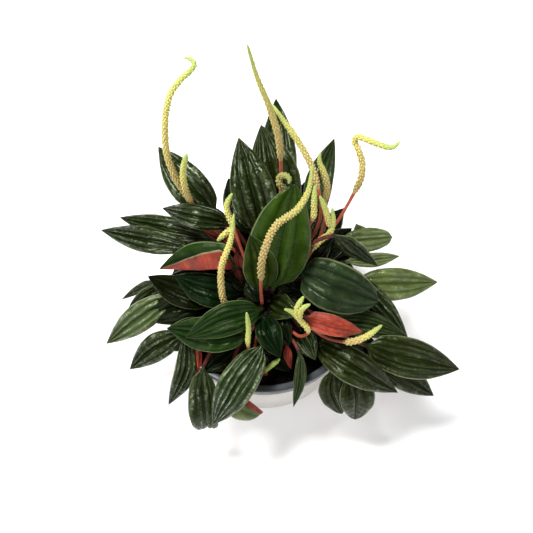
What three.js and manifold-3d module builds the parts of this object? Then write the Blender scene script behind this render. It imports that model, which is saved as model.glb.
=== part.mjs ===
// A peperomia in bloom, standing in its pot: a grey grow pot whose lip rests on a white cover pot,
// potting soil, a short crown, forty-one leaves and fifteen flower stems.
// Millimetres, +Z up, the origin at the centre of the cover pot's foot, the plant's front toward -Y.
import * as THREE from "three";
import Module from "manifold-3d";

const wasm = await Module();
wasm.setup();
const { Manifold, Mesh } = wasm;

// ---- Driving sizes ----------------------------------------------------------------------------

const GAP = 0.3;                  // between pieces that touch
const RIM_RADIUS = 60;            // outside of the grow pot's lip
const RIM_HEIGHT = 66;            // top of the lip over the table
const LIP_HEIGHT = 8.5;
const LIP_WIDTH = 4.2;            // top face of the lip
const FOOT_RADIUS = 52.9;         // outside of the cover pot where it stands
const WALL = 1.6;
const SOIL_HEIGHT = 59;
const CROWN_RADIUS = 11.5;
const CROWN_CENTRE = new THREE.Vector3(0, -2, 72);
const STALK_RADIUS = 1.2;         // leaf stalk
const PEDUNCLE_RADIUS = 1.0;      // bare foot of a flower stem
const SPIKE_RADIUS = 1.9;
const LEAF_THICKNESS = 1.2;       // at the midrib; the margin is an edge
const FLOOR_CLEARANCE = 1.5;

// ---- Where things stand -----------------------------------------------------------------------
// A place is [across, down, height]: the point of the 533 x 533 view in which it is seen, in
// pixels, and its height over the table in millimetres. The view looks down on the pot's rim.

const VIEW = {
  pitch: THREE.MathUtils.degToRad(65),
  range: 457,                     // from the rim's centre, along the line of sight
  focal: 740,                     // pixels
  middle: 266.5,                  // pixels
  rimAcross: -1.5,                // the rim's centre, off the line of sight
  rimUp: -18.8,
};
const AHEAD = new THREE.Vector3(0, Math.cos(VIEW.pitch), -Math.sin(VIEW.pitch));
const ACROSS = new THREE.Vector3(1, 0, 0);
const UPWARD = new THREE.Vector3().crossVectors(ACROSS, AHEAD);
const EYE = new THREE.Vector3(0, 0, RIM_HEIGHT)
  .addScaledVector(AHEAD, -VIEW.range)
  .addScaledVector(ACROSS, -VIEW.rimAcross)
  .addScaledVector(UPWARD, -VIEW.rimUp);

function place([across, down, height]) {
  const ray = AHEAD.clone()
    .addScaledVector(ACROSS, (across - VIEW.middle) / VIEW.focal)
    .addScaledVector(UPWARD, (VIEW.middle - down) / VIEW.focal);
  return ray.multiplyScalar((height - EYE.z) / ray.z).add(EYE);
}

function seen(point) {
  const d = point.clone().sub(EYE);
  const depth = d.dot(AHEAD);
  return {
    across: VIEW.middle + (VIEW.focal * d.dot(ACROSS)) / depth,
    down: VIEW.middle - (VIEW.focal * d.dot(UPWARD)) / depth,
    depth: d.length(),
  };
}

// ---- The leaves, from the nearest to the farthest in the view ---------------------------------
// path: the midrib from the blade's foot to its tip. wide: the blade's greatest width, in mm.
// roll: degrees about the midrib, away from facing the view. fold: degrees that a half rises, for
// both halves or for the left and the right one; footFold: the same near the blade's foot, where
// that differs. blunt: under 1 for a broad tip. broad: under 1 for a broad foot. slim: the left
// half's width against the right one's, all along or at the blade's foot and at its tip.

const LEAVES = [
  { name: "leaf_front_left_upper", path: [[262, 309, 88], [225, 320, 95], [185.4, 338, 84]], wide: 19,
    young: true },
  { name: "leaf_front_left_lower", path: [[250, 332, 80], [208, 334, 84], [166.5, 328, 76]], wide: 21,
    young: true },
  { name: "leaf_young_upright", path: [[261, 291, 95], [260, 264, 110], [250, 234.5, 125]], wide: 20,
    young: true },
  { name: "leaf_young_broad", path: [[273, 290, 98], [281, 238, 118], [295, 184, 138]], wide: 35,
    blunt: 0.75, young: true },
  { name: "leaf_front_small", path: [[264, 316, 84], [270, 336, 81], [280, 358, 72]], wide: 15 },
  { name: "leaf_front_over_rim", path: [[263, 344, 76], [238, 383, 74], [212.5, 425.5, 48]], wide: 21 },
  { name: "leaf_front_right_inner", path: [[268, 301, 92], [283, 308, 92], [297, 316, 87]], wide: 16 },
  { name: "leaf_right_facing", path: [[299, 272, 92], [337, 288, 100], [378.5, 301.5, 86]], wide: 29,
    blunt: 0.65, broad: 0.7 },
  { name: "leaf_right_turned", path: [[305, 317, 94], [334, 326, 97], [363, 332, 90]], wide: 12,
    roll: 180, broad: 0.5 },
  { name: "leaf_left_folded", path: [[238, 268, 92], [199, 268.5, 88], [159, 269, 80]], wide: 32,
    fold: [120, 12], footFold: [138, 12], broad: 0.4, slim: [1.15, 0.4] },
  { name: "leaf_left_inner", path: [[243, 294, 84], [208, 290, 87], [174, 275.5, 78]], wide: 20 },
  { name: "leaf_left_olive", path: [[215, 302, 76], [181, 292, 76], [147.5, 276, 68]], wide: 18 },
  { name: "leaf_front_red", path: [[286, 345, 78], [288, 357, 77], [291, 369, 72]], wide: 5, roll: 180 },
  { name: "leaf_front_narrow", path: [[299, 352, 76], [300, 378, 73], [293.4, 407.3, 60]], wide: 7 },
  { name: "leaf_front_dark", path: [[300, 329, 80], [307, 344, 79], [315.5, 360, 72]], wide: 13 },
  { name: "leaf_front_right_long", path: [[313, 341, 80], [352, 366, 76], [398, 392.7, 50]], wide: 20 },
  { name: "leaf_right_low_long", path: [[364, 345, 76], [409, 358, 74], [460, 369.4, 54]], wide: 24,
    broad: 0.7 },
  { name: "leaf_right_glossy", path: [[325, 318, 84], [368, 324, 86], [408, 337, 76]], wide: 16 },
  { name: "leaf_right_dark", path: [[350, 276, 80], [380, 305, 78], [409, 341, 66]], wide: 14 },
  { name: "leaf_right_outer", path: [[352, 285, 78], [398, 284, 76], [438, 282, 64]], wide: 20 },
  { name: "leaf_right_under", path: [[372, 358, 66], [402, 374, 58], [434, 396, 38]], wide: 18 },
  { name: "leaf_front_right_round", path: [[350, 372, 71], [357, 396, 60], [355, 419.6, 38]], wide: 21,
    blunt: 0.7 },
  { name: "leaf_front_right_edge", path: [[331, 368, 69], [332, 392, 56], [342, 414, 39]], wide: 16,
    blunt: 0.7 },
  { name: "leaf_front_curled", path: [[232, 386, 70], [247, 400, 62], [263, 412, 50]], wide: 26,
    fold: [128, 2], slim: 0.45, blunt: 0.5 },
  { name: "leaf_front_left_blunt", path: [[204, 366, 70], [203, 396, 60], [206, 426, 42], [213, 420, 32]],
    wide: 18, blunt: 0.4 },
  { name: "leaf_left_hanging", path: [[189, 335, 68], [186, 370, 60], [168.5, 405, 42]], wide: 13 },
  { name: "leaf_left_glossy", path: [[175, 297, 66], [142, 316, 62], [106, 344, 44]], wide: 18 },
  { name: "leaf_left_low", path: [[184, 333, 62], [155, 348, 56], [129.5, 369.5, 42]], wide: 17 },
  { name: "leaf_left_tip", path: [[156, 281, 58], [139, 289, 54], [121.5, 299.5, 44]], wide: 6 },
  { name: "leaf_back_left_upper", path: [[231, 226, 98], [197, 217, 104], [162, 208, 96]], wide: 14 },
  { name: "leaf_left_long", path: [[192, 250, 84], [147, 240, 82], [100.5, 230, 66]], wide: 16 },
  { name: "leaf_left_long_behind", path: [[212, 240, 88], [166, 229, 88], [119.5, 217.3, 74]], wide: 16 },
  { name: "leaf_back_left_tall", path: [[217, 214, 90], [187, 184, 102], [158, 146.5, 104]], wide: 23 },
  { name: "leaf_back_right_narrow", path: [[333, 236, 103], [355, 250, 98], [378, 266, 86]], wide: 13,
    roll: 30 },
  { name: "leaf_back_right_low", path: [[345, 262, 76], [372, 260, 76], [400, 256, 70]], wide: 9 },
  { name: "leaf_back_right_pale", path: [[340, 244, 84], [366, 240, 86], [392.5, 237, 80]], wide: 15,
    blunt: 0.5 },
  { name: "leaf_back_right_tip", path: [[364, 248, 78], [361, 236, 88], [356, 223.6, 94]], wide: 13 },
  { name: "leaf_back_centre", path: [[262, 238, 90], [252, 188, 110], [238.5, 137, 120]], wide: 27 },
  { name: "leaf_back_right_tall", path: [[312, 226, 88], [319, 182, 102], [334.5, 138, 106]], wide: 17 },
  { name: "leaf_back_tall", path: [[282, 225, 86], [273, 172, 106], [261, 124.5, 114]], wide: 31 },
  { name: "leaf_back_top", path: [[284, 200, 86], [279, 150, 104], [276, 98, 106]], wide: 21 },
];

// ---- The flower stems -------------------------------------------------------------------------
// bare: the stalk from the crown upward. spikes: what it bears, each from its foot to its tip.
// before: the nearest leaf that the flower stem is seen in front of; bareBefore, the same for its
// stalk. onSoil: it stands on the soil, beside the crown.

const FLOWERS = [
  { name: "flower_centre", bare: [[262, 303, 92], [261, 290, 105]], spikes: [
    [[261, 278, 114], [263, 256, 130], [275.7, 226, 142], [296.6, 210, 147], [308, 192, 151],
      [313, 163, 160]]], before: "leaf_front_left_upper" },
  { name: "flower_front_short", bare: [[258, 332, 66], [252, 356, 70]], spikes: [
    [[248, 344, 87], [248.5, 328, 98], [246.6, 312, 110]]], before: "leaf_front_left_upper",
    bareBefore: "leaf_right_facing" },
  { name: "flower_left", bare: [[240, 303, 78]], spikes: [
    [[225.5, 303, 86], [221, 281, 100], [222, 265, 110], [231, 239, 122], [234, 213, 134]]],
    before: "leaf_front_left_lower" },
  { name: "flower_right_cluster", bare: [[285, 324, 78], [299, 336, 85]], spikes: [
    [[308.5, 331, 97], [301, 321, 103], [292, 312, 109], [284, 309, 113]],
    [[296, 316, 106], [298, 306, 113], [304, 296, 119]],
    [[299, 319, 104], [302, 309, 113], [310.5, 304, 117]]], before: "leaf_front_right_inner",
    bareBefore: "leaf_front_dark" },
  { name: "flower_right_low", bare: [[300, 319, 77], [325, 337, 83]], spikes: [
    [[346, 342, 90], [358, 340, 98], [368, 335.5, 102], [382.5, 324.7, 106]]],
    before: "leaf_right_turned", bareBefore: "leaf_front_dark" },
  { name: "flower_front_bud", bare: [], spikes: [
    [[265.5, 370.5, 66], [272, 365, 70], [280, 358.5, 75]]], before: "leaf_front_curled", onSoil: true },
  { name: "flower_back_left_inner", bare: [[246, 262, 96]], spikes: [
    [[233, 226, 112], [228, 214, 117], [227, 204, 122], [232.4, 193, 128]],
    [[233, 228, 110], [226, 233, 108], [217, 241.5, 103]]], before: "leaf_back_left_upper" },
  { name: "flower_back_left_tall", bare: [[240, 258, 86], [214, 228, 98]], spikes: [
    [[190.5, 201, 112], [181, 187, 124], [173.5, 173, 134], [167.5, 157, 144], [165, 136, 156],
      [166, 112, 168], [171, 93, 176], [181.6, 78.7, 182], [191.5, 69.5, 186], [194.3, 64, 188],
      [190, 58.8, 189], [182.5, 58, 188]],
    [[190.5, 201, 112], [185, 188, 128], [183, 172, 140], [186.8, 153, 154]]],
    before: "leaf_left_long" },
  { name: "flower_right_tall", bare: [[306, 262, 90], [337, 222, 105]], spikes: [
    [[355, 191, 120], [361.5, 176, 132], [362, 162, 139], [358.5, 150, 144], [354.6, 141, 147],
      [358, 137.3, 150], [366.5, 139.6, 152], [379, 144.5, 153], [392, 147.5, 155],
      [401, 141, 158]]], before: "leaf_back_right_low" },
  { name: "flower_back_fork", bare: [[301, 268, 92]], spikes: [
    [[313.5, 248, 108], [321, 239.5, 112], [329, 234, 116], [333, 222, 122], [332.3, 207.6, 130]],
    [[330, 226, 120], [325, 208, 130], [319.6, 195.5, 136]]], before: "leaf_back_right_low" },
  { name: "flower_back_slim", bare: [[290, 250, 106]], spikes: [
    [[313, 218, 124], [314, 203.5, 132], [315, 185, 141]]], before: "leaf_back_right_low" },
  { name: "flower_back_right", bare: [[302, 262, 78], [322, 232, 96]], spikes: [
    [[325.5, 200, 118], [327, 186, 126], [323.5, 172, 134], [319.5, 162, 139], [320, 152, 144]]],
    before: "leaf_back_centre" },
  { name: "flower_back_arched", bare: [[290, 262, 90], [315, 232, 108], [321, 210, 121]], spikes: [
    [[317.5, 186, 134], [311, 165, 143], [294, 135, 156], [281, 117, 163], [272, 104, 166]]],
    before: "leaf_back_centre" },
  { name: "flower_back_tall", bare: [[276, 262, 86], [279, 215, 106], [281, 180, 123]], spikes: [
    [[280.5, 158, 137], [278.5, 138, 152], [270, 108.5, 172], [257, 77, 192], [247, 43.6, 212]]],
    before: "leaf_back_centre" },
  { name: "flower_back_knot", bare: [[284, 262, 80], [290, 222, 100], [289, 200, 118]], spikes: [
    [[285.5, 190, 127], [279.5, 184, 132], [279.5, 177, 135], [285, 175.5, 138], [289.5, 179, 140],
      [288.5, 184, 141]]], before: "leaf_back_centre" },
];

// ---- Closed skins from rings ------------------------------------------------------------------

const RING = 8;                   // corners round a leaf or a stalk

// A skin over rings of corners, closed by a point at each end.
function skin(start, rings, end) {
  const corners = [start, ...rings.flat(), end];
  const faces = [];
  const at = (ring, k) => 1 + ring * RING + (k % RING);
  const last = rings.length - 1;
  for (let k = 0; k < RING; k++) {
    faces.push(0, at(0, k + 1), at(0, k));
    for (let ring = 0; ring < last; ring++) {
      faces.push(at(ring, k), at(ring, k + 1), at(ring + 1, k));
      faces.push(at(ring, k + 1), at(ring + 1, k + 1), at(ring + 1, k));
    }
    faces.push(at(last, k), at(last, k + 1), corners.length - 1);
  }
  return { corners, faces };
}

function toGeometry({ corners, faces }) {
  const geometry = new THREE.BufferGeometry();
  const flat = corners.flatMap((c) => c.toArray());
  geometry.setAttribute("position", new THREE.Float32BufferAttribute(flat, 3));
  geometry.setIndex(faces);
  geometry.computeVertexNormals();
  return geometry;
}

function united(skins) {
  const solids = skins.map(({ corners, faces }) => new Manifold(new Mesh({
    numProp: 3,
    vertProperties: new Float32Array(corners.flatMap((c) => c.toArray())),
    triVerts: new Uint32Array(faces),
  })));
  const mesh = Manifold.union(solids).getMesh();
  const corners = [];
  for (let i = 0; i < mesh.vertProperties.length; i += mesh.numProp) {
    corners.push(new THREE.Vector3(...mesh.vertProperties.slice(i, i + 3)));
  }
  return { corners, faces: [...mesh.triVerts] };
}

// Unit directions along a row of points.
function tangents(points) {
  return points.map((_, i) => points[Math.min(i + 1, points.length - 1)].clone()
    .sub(points[Math.max(i - 1, 0)]).normalize());
}

// The stretch of a curve between two of its parameters: its length, and at(share), the curve's
// parameter at that share of the length.
function stretch(line, from, to) {
  const steps = 60;
  const fine = Array.from({ length: steps + 1 }, (_, i) => from + ((to - from) * i) / steps);
  const lengths = [0];
  for (let i = 1; i <= steps; i++) {
    lengths.push(lengths[i - 1] + line.getPoint(fine[i]).distanceTo(line.getPoint(fine[i - 1])));
  }
  const at = (share) => {
    const want = share * lengths[steps];
    let i = 1;
    while (i < steps && lengths[i] < want) i++;
    const part = (want - lengths[i - 1]) / (lengths[i] - lengths[i - 1]);
    return fine[i - 1] + (fine[i] - fine[i - 1]) * part;
  };
  return { length: lengths[steps], at };
}

function squared(side, tangent) {
  return side.clone().addScaledVector(tangent, -side.dot(tangent)).normalize();
}

// A round tube along a row of points, with a radius at each; the last radius closes on a point.
function tube(points, radii) {
  const along = tangents(points);
  let side = squared(new THREE.Vector3(1, 0.2, 0.1), along[0]);
  const rings = [];
  for (let i = 0; i < points.length - 1; i++) {
    side = squared(side, along[i]);
    const normal = new THREE.Vector3().crossVectors(side, along[i]);
    rings.push(roundRing(points[i], side, normal, radii[i]));
  }
  return skin(points[0], rings, points[points.length - 1]);
}

function roundRing(centre, side, normal, radius) {
  return Array.from({ length: RING }, (_, k) => {
    const turn = (k / RING) * 2 * Math.PI;
    return centre.clone()
      .addScaledVector(side, -radius * Math.cos(turn))
      .addScaledVector(normal, radius * Math.sin(turn));
  });
}

// ---- A leaf -----------------------------------------------------------------------------------

const STALK_STATIONS = [0, 0.3, 0.6, 0.85];
const BLADE_STATIONS = [           // [along the blade, share of the half width]
  [0, 0.12], [0.09, 0.5], [0.23, 0.85], [0.41, 1], [0.6, 0.88], [0.78, 0.57], [0.92, 0.23],
];
const BLADE_FOOT = 3;              // the blade's foot in a leaf's row of guide points
const DEFAULT_FOLD = 9;            // degrees
const WIDEST = 3;                  // of the blade's stations
const FOLD_SETTLES = 0.6;          // along the blade, from where on it has its own fold
const HALF_WAY_TURN = 0.6;         // of a half's fold, half-way out to its margin
const HALF_WAY_THICKNESS = 0.64;   // of the midrib's
const TIP_THICKNESS = 0.6;         // of the midrib's, at the last station

// Points and directions along the smooth line through a leaf's guide points.
function midrib(guides) {
  const line = new THREE.CatmullRomCurve3(guides, false, "centripetal");
  const foot = BLADE_FOOT / (guides.length - 1);
  const blade = stretch(line, foot, 1);
  const stations = [
    ...STALK_STATIONS.map((s) => s * foot),
    ...BLADE_STATIONS.map(([share]) => blade.at(share)),
    1,
  ];
  return {
    stations,
    points: stations.map((t) => line.getPoint(t)),
    along: stations.map((t) => line.getTangent(t)),
  };
}

function leafSkin(leaf, guides) {
  const { stations, points, along } = midrib(guides);
  along[0] = leaf.seat;            // the stalk stands square on the crown
  const middle = STALK_STATIONS.length + 3;
  const toEye = EYE.clone().sub(points[middle]).normalize();
  const facing = new THREE.Vector3().crossVectors(along[middle], toEye).normalize();
  const roll = THREE.MathUtils.degToRad(leaf.roll ?? 0);
  const [folds, footFolds] = [leaf.fold, leaf.footFold ?? leaf.fold]
    .map((fold) => [fold ?? DEFAULT_FOLD].flat().map(THREE.MathUtils.degToRad));
  const slim = [leaf.slim ?? 1].flat();
  const [slimFoot, slimTip] = [slim[0], slim[slim.length - 1]];
  const sides = [];
  sides[middle] = facing.applyAxisAngle(along[middle], roll);
  for (let i = middle + 1; i < points.length; i++) sides[i] = squared(sides[i - 1], along[i]);
  for (let i = middle - 1; i >= 0; i--) sides[i] = squared(sides[i + 1], along[i]);
  const rings = [];
  for (let i = 0; i < points.length - 1; i++) {
    const normal = new THREE.Vector3().crossVectors(sides[i], along[i]).normalize();
    const blade = i - STALK_STATIONS.length;
    if (blade <= 0) {
      rings.push(roundRing(points[i], sides[i], normal, STALK_RADIUS));
    } else {
      const [where, width] = BLADE_STATIONS[blade];
      const half = (leaf.wide / 2) * width ** ((blade > WIDEST ? leaf.blunt : leaf.broad) ?? 1);
      const settled = Math.min(1, where / FOLD_SETTLES);
      const turns = folds.map((fold, n) => THREE.MathUtils.lerp(footFolds[n], fold, settled));
      const leftHalf = half * THREE.MathUtils.lerp(slimFoot, slimTip, where);
      rings.push(bladeRing(points[i], sides[i], normal, [leftHalf, half], turns, blade));
    }
  }
  return { ...skin(points[0], rings, points[points.length - 1]), stations };
}

// halves: the width of the left and the right half; folds: how far each turns up. Each half curves,
// less at the midrib.
function bladeRing(centre, side, normal, halves, folds, blade) {
  const lift = (LEAF_THICKNESS / 2) * (blade === BLADE_STATIONS.length - 1 ? TIP_THICKNESS : 1);
  const thin = lift * HALF_WAY_THICKNESS;
  const [left, right] = [folds[0], folds[folds.length - 1]];
  const at = (share, turn, up) => {
    const out = Math.abs(share) * halves[share < 0 ? 0 : 1];
    return centre.clone()
      .addScaledVector(side, Math.sign(share) * (out * Math.cos(turn) - up * Math.sin(turn)))
      .addScaledVector(normal, out * Math.sin(turn) + up * Math.cos(turn));
  };
  const [leftInner, rightInner] = [left * HALF_WAY_TURN, right * HALF_WAY_TURN];
  return [
    at(-1, left, 0), at(-0.5, leftInner, thin), at(0, 0, lift), at(0.5, rightInner, thin),
    at(1, right, 0), at(0.5, rightInner, -thin), at(0, 0, -lift), at(-0.5, leftInner, -thin),
  ];
}

// ---- Seats on the crown -----------------------------------------------------------------------
// Each stalk stands on the crown in the direction of what it bears; close ones move apart.

const SEAT_SPACING = THREE.MathUtils.degToRad(19);
const LOWEST_SEAT = -0.35;         // sine of the seat's angle over the horizon
const SEAT_PASSES = 400;
const SEAT_STEP = 0.3;             // of what two seats lack, moved in a pass

function seatDirections(targets) {
  const seats = targets.map((t) => t.clone().sub(CROWN_CENTRE).normalize());
  for (let pass = 0; pass < SEAT_PASSES; pass++) {
    for (let i = 0; i < seats.length; i++) {
      for (let j = i + 1; j < seats.length; j++) {
        const angle = seats[i].angleTo(seats[j]);
        if (angle >= SEAT_SPACING) continue;
        const apart = seats[i].clone().sub(seats[j]);
        if (apart.length() < 1e-4) apart.set(0.01, 0.02 * (i - j), 0.005);
        apart.normalize().multiplyScalar((SEAT_SPACING - angle) * SEAT_STEP);
        seats[i].add(apart).normalize();
        seats[j].sub(apart).normalize();
      }
      seats[i].z = Math.max(seats[i].z, LOWEST_SEAT);
      seats[i].normalize();
    }
  }
  return seats;
}

const onCrown = (direction, out) => CROWN_CENTRE.clone().addScaledVector(direction, CROWN_RADIUS + out);

// ---- Settling the leaves ----------------------------------------------------------------------
// The leaves are listed by their place on the line of sight, so two that cover each other keep
// clear by sliding along it, which leaves the view as it is.

const CELL = 1.4;                  // pixels
const CLEARANCE = 0.65;            // mm, along the line of sight
const PASSES = 45;
const SETTLED = 0.05;              // mm
const PASS_STEP = 0.6;             // of the way that a leaf is wanted to move, moved in a pass
const OWN_WEIGHT = 0.7;            // of a guide point's own way, against its neighbours'
const SPREAD_OF_NUDGE = 1.6;

// The nearest and farthest depth of a skin's faces in each cell of the view.
function layer(skinned, firstRing, lastRing) {
  const { corners, faces, stations } = skinned;
  const flat = corners.map(seen);
  const cells = new Map();
  const ringOf = (corner) => Math.max(0, Math.floor((corner - 1) / RING));
  for (let f = 0; f < faces.length; f += 3) {
    const ids = [faces[f], faces[f + 1], faces[f + 2]];
    const ring = Math.min(...ids.map(ringOf));
    if (stations && (ring < firstRing || ring > lastRing)) continue;
    const when = stations ? stations[ring] : 0;
    const [a, b, c] = ids.map((i) => flat[i]);
    fillCells(cells, a, b, c, when);
  }
  return cells;
}

function fillCells(cells, a, b, c, when) {
  const low = (key) => Math.floor(Math.min(a[key], b[key], c[key]) / CELL - 0.5);
  const high = (key) => Math.ceil(Math.max(a[key], b[key], c[key]) / CELL + 0.5);
  const area = (b.across - a.across) * (c.down - a.down) - (c.across - a.across) * (b.down - a.down);
  const solid = Math.abs(area) > 1e-3;
  for (let row = low("down"); row <= high("down"); row++) {
    for (let column = low("across"); column <= high("across"); column++) {
      const x = column * CELL;
      const y = row * CELL;
      let depth;
      if (solid) {
        const v = ((x - a.across) * (c.down - a.down) - (c.across - a.across) * (y - a.down)) / area;
        const w = ((b.across - a.across) * (y - a.down) - (x - a.across) * (b.down - a.down)) / area;
        const slack = 0.5 * CELL * Math.max(
          Math.hypot(c.across - b.across, c.down - b.down),
          Math.hypot(c.across - a.across, c.down - a.down),
          Math.hypot(b.across - a.across, b.down - a.down)) / Math.abs(area);
        if (v < -slack || w < -slack || v + w > 1 + slack) continue;
        depth = a.depth + v * (b.depth - a.depth) + w * (c.depth - a.depth);
        const least = Math.min(a.depth, b.depth, c.depth);
        const most = Math.max(a.depth, b.depth, c.depth);
        depth = Math.min(most, Math.max(least, depth));
      } else {
        depth = (a.depth + b.depth + c.depth) / 3;
        const offAcross = x - (a.across + b.across + c.across) / 3;
        const offDown = y - (a.down + b.down + c.down) / 3;
        if (Math.hypot(offAcross, offDown) > CELL) continue;
      }
      const key = row * 1000 + column;
      const cell = cells.get(key);
      if (!cell) cells.set(key, { near: depth, far: depth, when });
      else {
        cell.near = Math.min(cell.near, depth);
        cell.far = Math.max(cell.far, depth);
      }
    }
  }
}

function settle(leaves, fixed) {
  for (let pass = 0; pass < PASSES; pass++) {
    const layers = [...fixed];
    for (const leaf of leaves) {
      leaf.skin = leafSkin(leaf, leaf.guides);
      leaf.shift = leaf.guides.map(() => ({ toward: 0, away: 0 }));
      layers.push({ owner: leaf, rank: leaf.rank, stalk: false,
        cells: layer(leaf.skin, STALK_STATIONS.length, 99) });
      layers.push({ owner: leaf, rank: leaf.rank, stalk: true,
        cells: layer(leaf.skin, 1, STALK_STATIONS.length - 1) });
    }
    layers.sort((a, b) => a.rank - b.rank);
    let worst = 0;
    for (let i = 0; i < layers.length; i++) {
      for (let j = i + 1; j < layers.length; j++) {
        worst = Math.max(worst, push(layers[i], layers[j]));
      }
    }
    for (const leaf of leaves) move(leaf);
    partStalks(leaves, fixed);
    if (worst < SETTLED && pass > PASSES / 2) break;
  }
}

function push(front, back) {
  if (front.owner === back.owner || (front.fixed && back.fixed)) return 0;
  if (front.stalk && (back.stalk || back.owner === "crown")) return 0;
  const [small, large] = front.cells.size < back.cells.size ? [front, back] : [back, front];
  let worst = 0;
  for (const [key, cell] of small.cells) {
    const other = large.cells.get(key);
    if (!other) continue;
    const [f, b] = small === front ? [cell, other] : [other, cell];
    const short = f.far + CLEARANCE - b.near;
    if (short <= 0) continue;
    worst = Math.max(worst, short);
    const share = front.fixed || back.fixed ? 1 : 0.5;
    if (!front.fixed) nudge(front.owner, f.when, "toward", short * share);
    if (!back.fixed) nudge(back.owner, b.when, "away", short * share);
  }
  return worst;
}

function nudge(leaf, when, way, amount) {
  const spot = when * (leaf.guides.length - 1);
  const before = Math.floor(spot);
  for (const [guide, weight] of [[before, 1 - (spot - before)], [before + 1, spot - before]]) {
    if (guide < 1 || guide >= leaf.guides.length) continue;
    const wanted = amount * Math.min(1, SPREAD_OF_NUDGE * weight);
    leaf.shift[guide][way] = Math.max(leaf.shift[guide][way], wanted);
  }
}

function move(leaf) {
  const steps = leaf.shift.map(({ toward, away }) => PASS_STEP * (toward - away));
  for (let i = 1; i < leaf.guides.length; i++) {
    const before = steps[Math.max(i - 1, 1)];
    const after = steps[Math.min(i + 1, steps.length - 1)];
    const step = OWN_WEIGHT * steps[i] + ((1 - OWN_WEIGHT) / 2) * (before + after);
    const guide = leaf.guides[i];
    const toEye = EYE.clone().sub(guide).normalize();
    guide.addScaledVector(toEye, step);
    const short = FLOOR_CLEARANCE + 1 - guide.z;
    if (short > 0) guide.addScaledVector(toEye, short / toEye.z);
  }
}

const STALK_GAP = 0.8;
const NEIGHBOUR = 3.4;             // two stalks' centre lines farther apart than this are clear
const FIRST_SPOT = 0.15;           // along a stalk, where it is first looked at
const SPOT_STEP = 0.1;
const FREE_OF_SEAT = 0.2;          // along a stalk, from where on it keeps off the crown
const CROWN_PUSH = 2;
const GIVE = 0.35;                 // of what two stalks lack, that each gives in a pass

// Stalks keep clear of each other and of the flower stems, whichever way is nearest.
function partStalks(leaves, fixed) {
  const rods = [];
  for (const leaf of leaves) {
    const line = new THREE.CatmullRomCurve3(leaf.guides, false, "centripetal");
    const foot = BLADE_FOOT / (leaf.guides.length - 1);
    for (let s = FIRST_SPOT; s <= 1; s += SPOT_STEP) {
      rods.push({ leaf, share: s, point: line.getPoint(s * foot), radius: STALK_RADIUS });
    }
  }
  for (const { rod } of fixed) if (rod) rods.push(...rod);
  for (const rod of rods) {
    const out = rod.point.clone().sub(CROWN_CENTRE);
    if (out.z < 0) out.z = 0;
    const short = CROWN_RADIUS + STALK_RADIUS + STALK_GAP - out.length();
    if (rod.leaf && rod.share > FREE_OF_SEAT && short > 0) {
      bend(rod, out.normalize().multiplyScalar(CROWN_PUSH * short));
    }
  }
  for (let i = 0; i < rods.length; i++) {
    for (let j = i + 1; j < rods.length; j++) {
      const a = rods[i];
      const b = rods[j];
      if (a.leaf === b.leaf) continue;
      const apart = a.point.clone().sub(b.point);
      if (Math.abs(apart.x) > NEIGHBOUR || Math.abs(apart.y) > NEIGHBOUR) continue;
      const short = a.radius + b.radius + STALK_GAP - apart.length();
      if (short <= 0) continue;
      apart.normalize().multiplyScalar(short * GIVE * (a.leaf && b.leaf ? 1 : 2));
      if (a.leaf) bend(a, apart);
      if (b.leaf) bend(b, apart.negate());
    }
  }
}

function bend({ leaf, share }, offset) {
  const spot = share * BLADE_FOOT;
  for (let guide = 1; guide < BLADE_FOOT; guide++) {
    const weight = Math.max(0, 1 - Math.abs(spot - guide));
    leaf.guides[guide].addScaledVector(offset, weight);
  }
}

// ---- Pot, soil and crown ----------------------------------------------------------------------

function lathe(outline, segments) {
  const points = outline.map(([radius, height]) => new THREE.Vector2(radius, height));
  return new THREE.LatheGeometry(points, segments);
}

const POT_SEGMENTS = 48;
const LIP_OVERHANG = 1.4;
const LIP_CHAMFER = 0.8;
const LIP_STEP = 2;                // the inside of the lip ends this far under its foot
const FOOT_CHAMFER = 1.2;
const LIP_FOOT = RIM_HEIGHT - LIP_HEIGHT;
const COVER_TOP = LIP_FOOT - GAP;
const COVER_TOP_RADIUS = RIM_RADIUS - LIP_OVERHANG;
const GROW_TOP_RADIUS = COVER_TOP_RADIUS - WALL - GAP;
const COVER_FLOOR = 2.2;
const GROW_FLOOR = COVER_FLOOR + GAP;
const taper = (COVER_TOP_RADIUS - FOOT_RADIUS) / COVER_TOP;
const inside = (height, wall) => COVER_TOP_RADIUS - wall - taper * (COVER_TOP - height);

function coverPot() {
  return lathe([
    [0, 0], [FOOT_RADIUS - FOOT_CHAMFER, 0], [FOOT_RADIUS, FOOT_CHAMFER], [COVER_TOP_RADIUS, COVER_TOP],
    [COVER_TOP_RADIUS - WALL, COVER_TOP], [inside(COVER_FLOOR, WALL), COVER_FLOOR], [0, COVER_FLOOR],
  ], POT_SEGMENTS);
}

const GROW_OUT = WALL + GAP;       // the grow pot's outside, in from the cover pot's
const GROW_IN = GROW_OUT + WALL;

function growPot() {
  return lathe([
    [0, GROW_FLOOR], [inside(GROW_FLOOR, GROW_OUT), GROW_FLOOR],
    [inside(LIP_FOOT, GROW_OUT), LIP_FOOT], [RIM_RADIUS, LIP_FOOT],
    [RIM_RADIUS, RIM_HEIGHT - LIP_CHAMFER], [RIM_RADIUS - LIP_CHAMFER, RIM_HEIGHT],
    [RIM_RADIUS - LIP_WIDTH, RIM_HEIGHT], [inside(LIP_FOOT - LIP_STEP, GROW_IN), LIP_FOOT - LIP_STEP],
    [inside(GROW_FLOOR + WALL, GROW_IN), GROW_FLOOR + WALL], [0, GROW_FLOOR + WALL],
  ], POT_SEGMENTS);
}

const SOIL_SHOULDER = LIP_FOOT - 2.5;
const SOIL_EDGE = 1.5;             // the soil's edge under its top
const SOIL_SLOPE = 6;              // how far in its top begins

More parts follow.
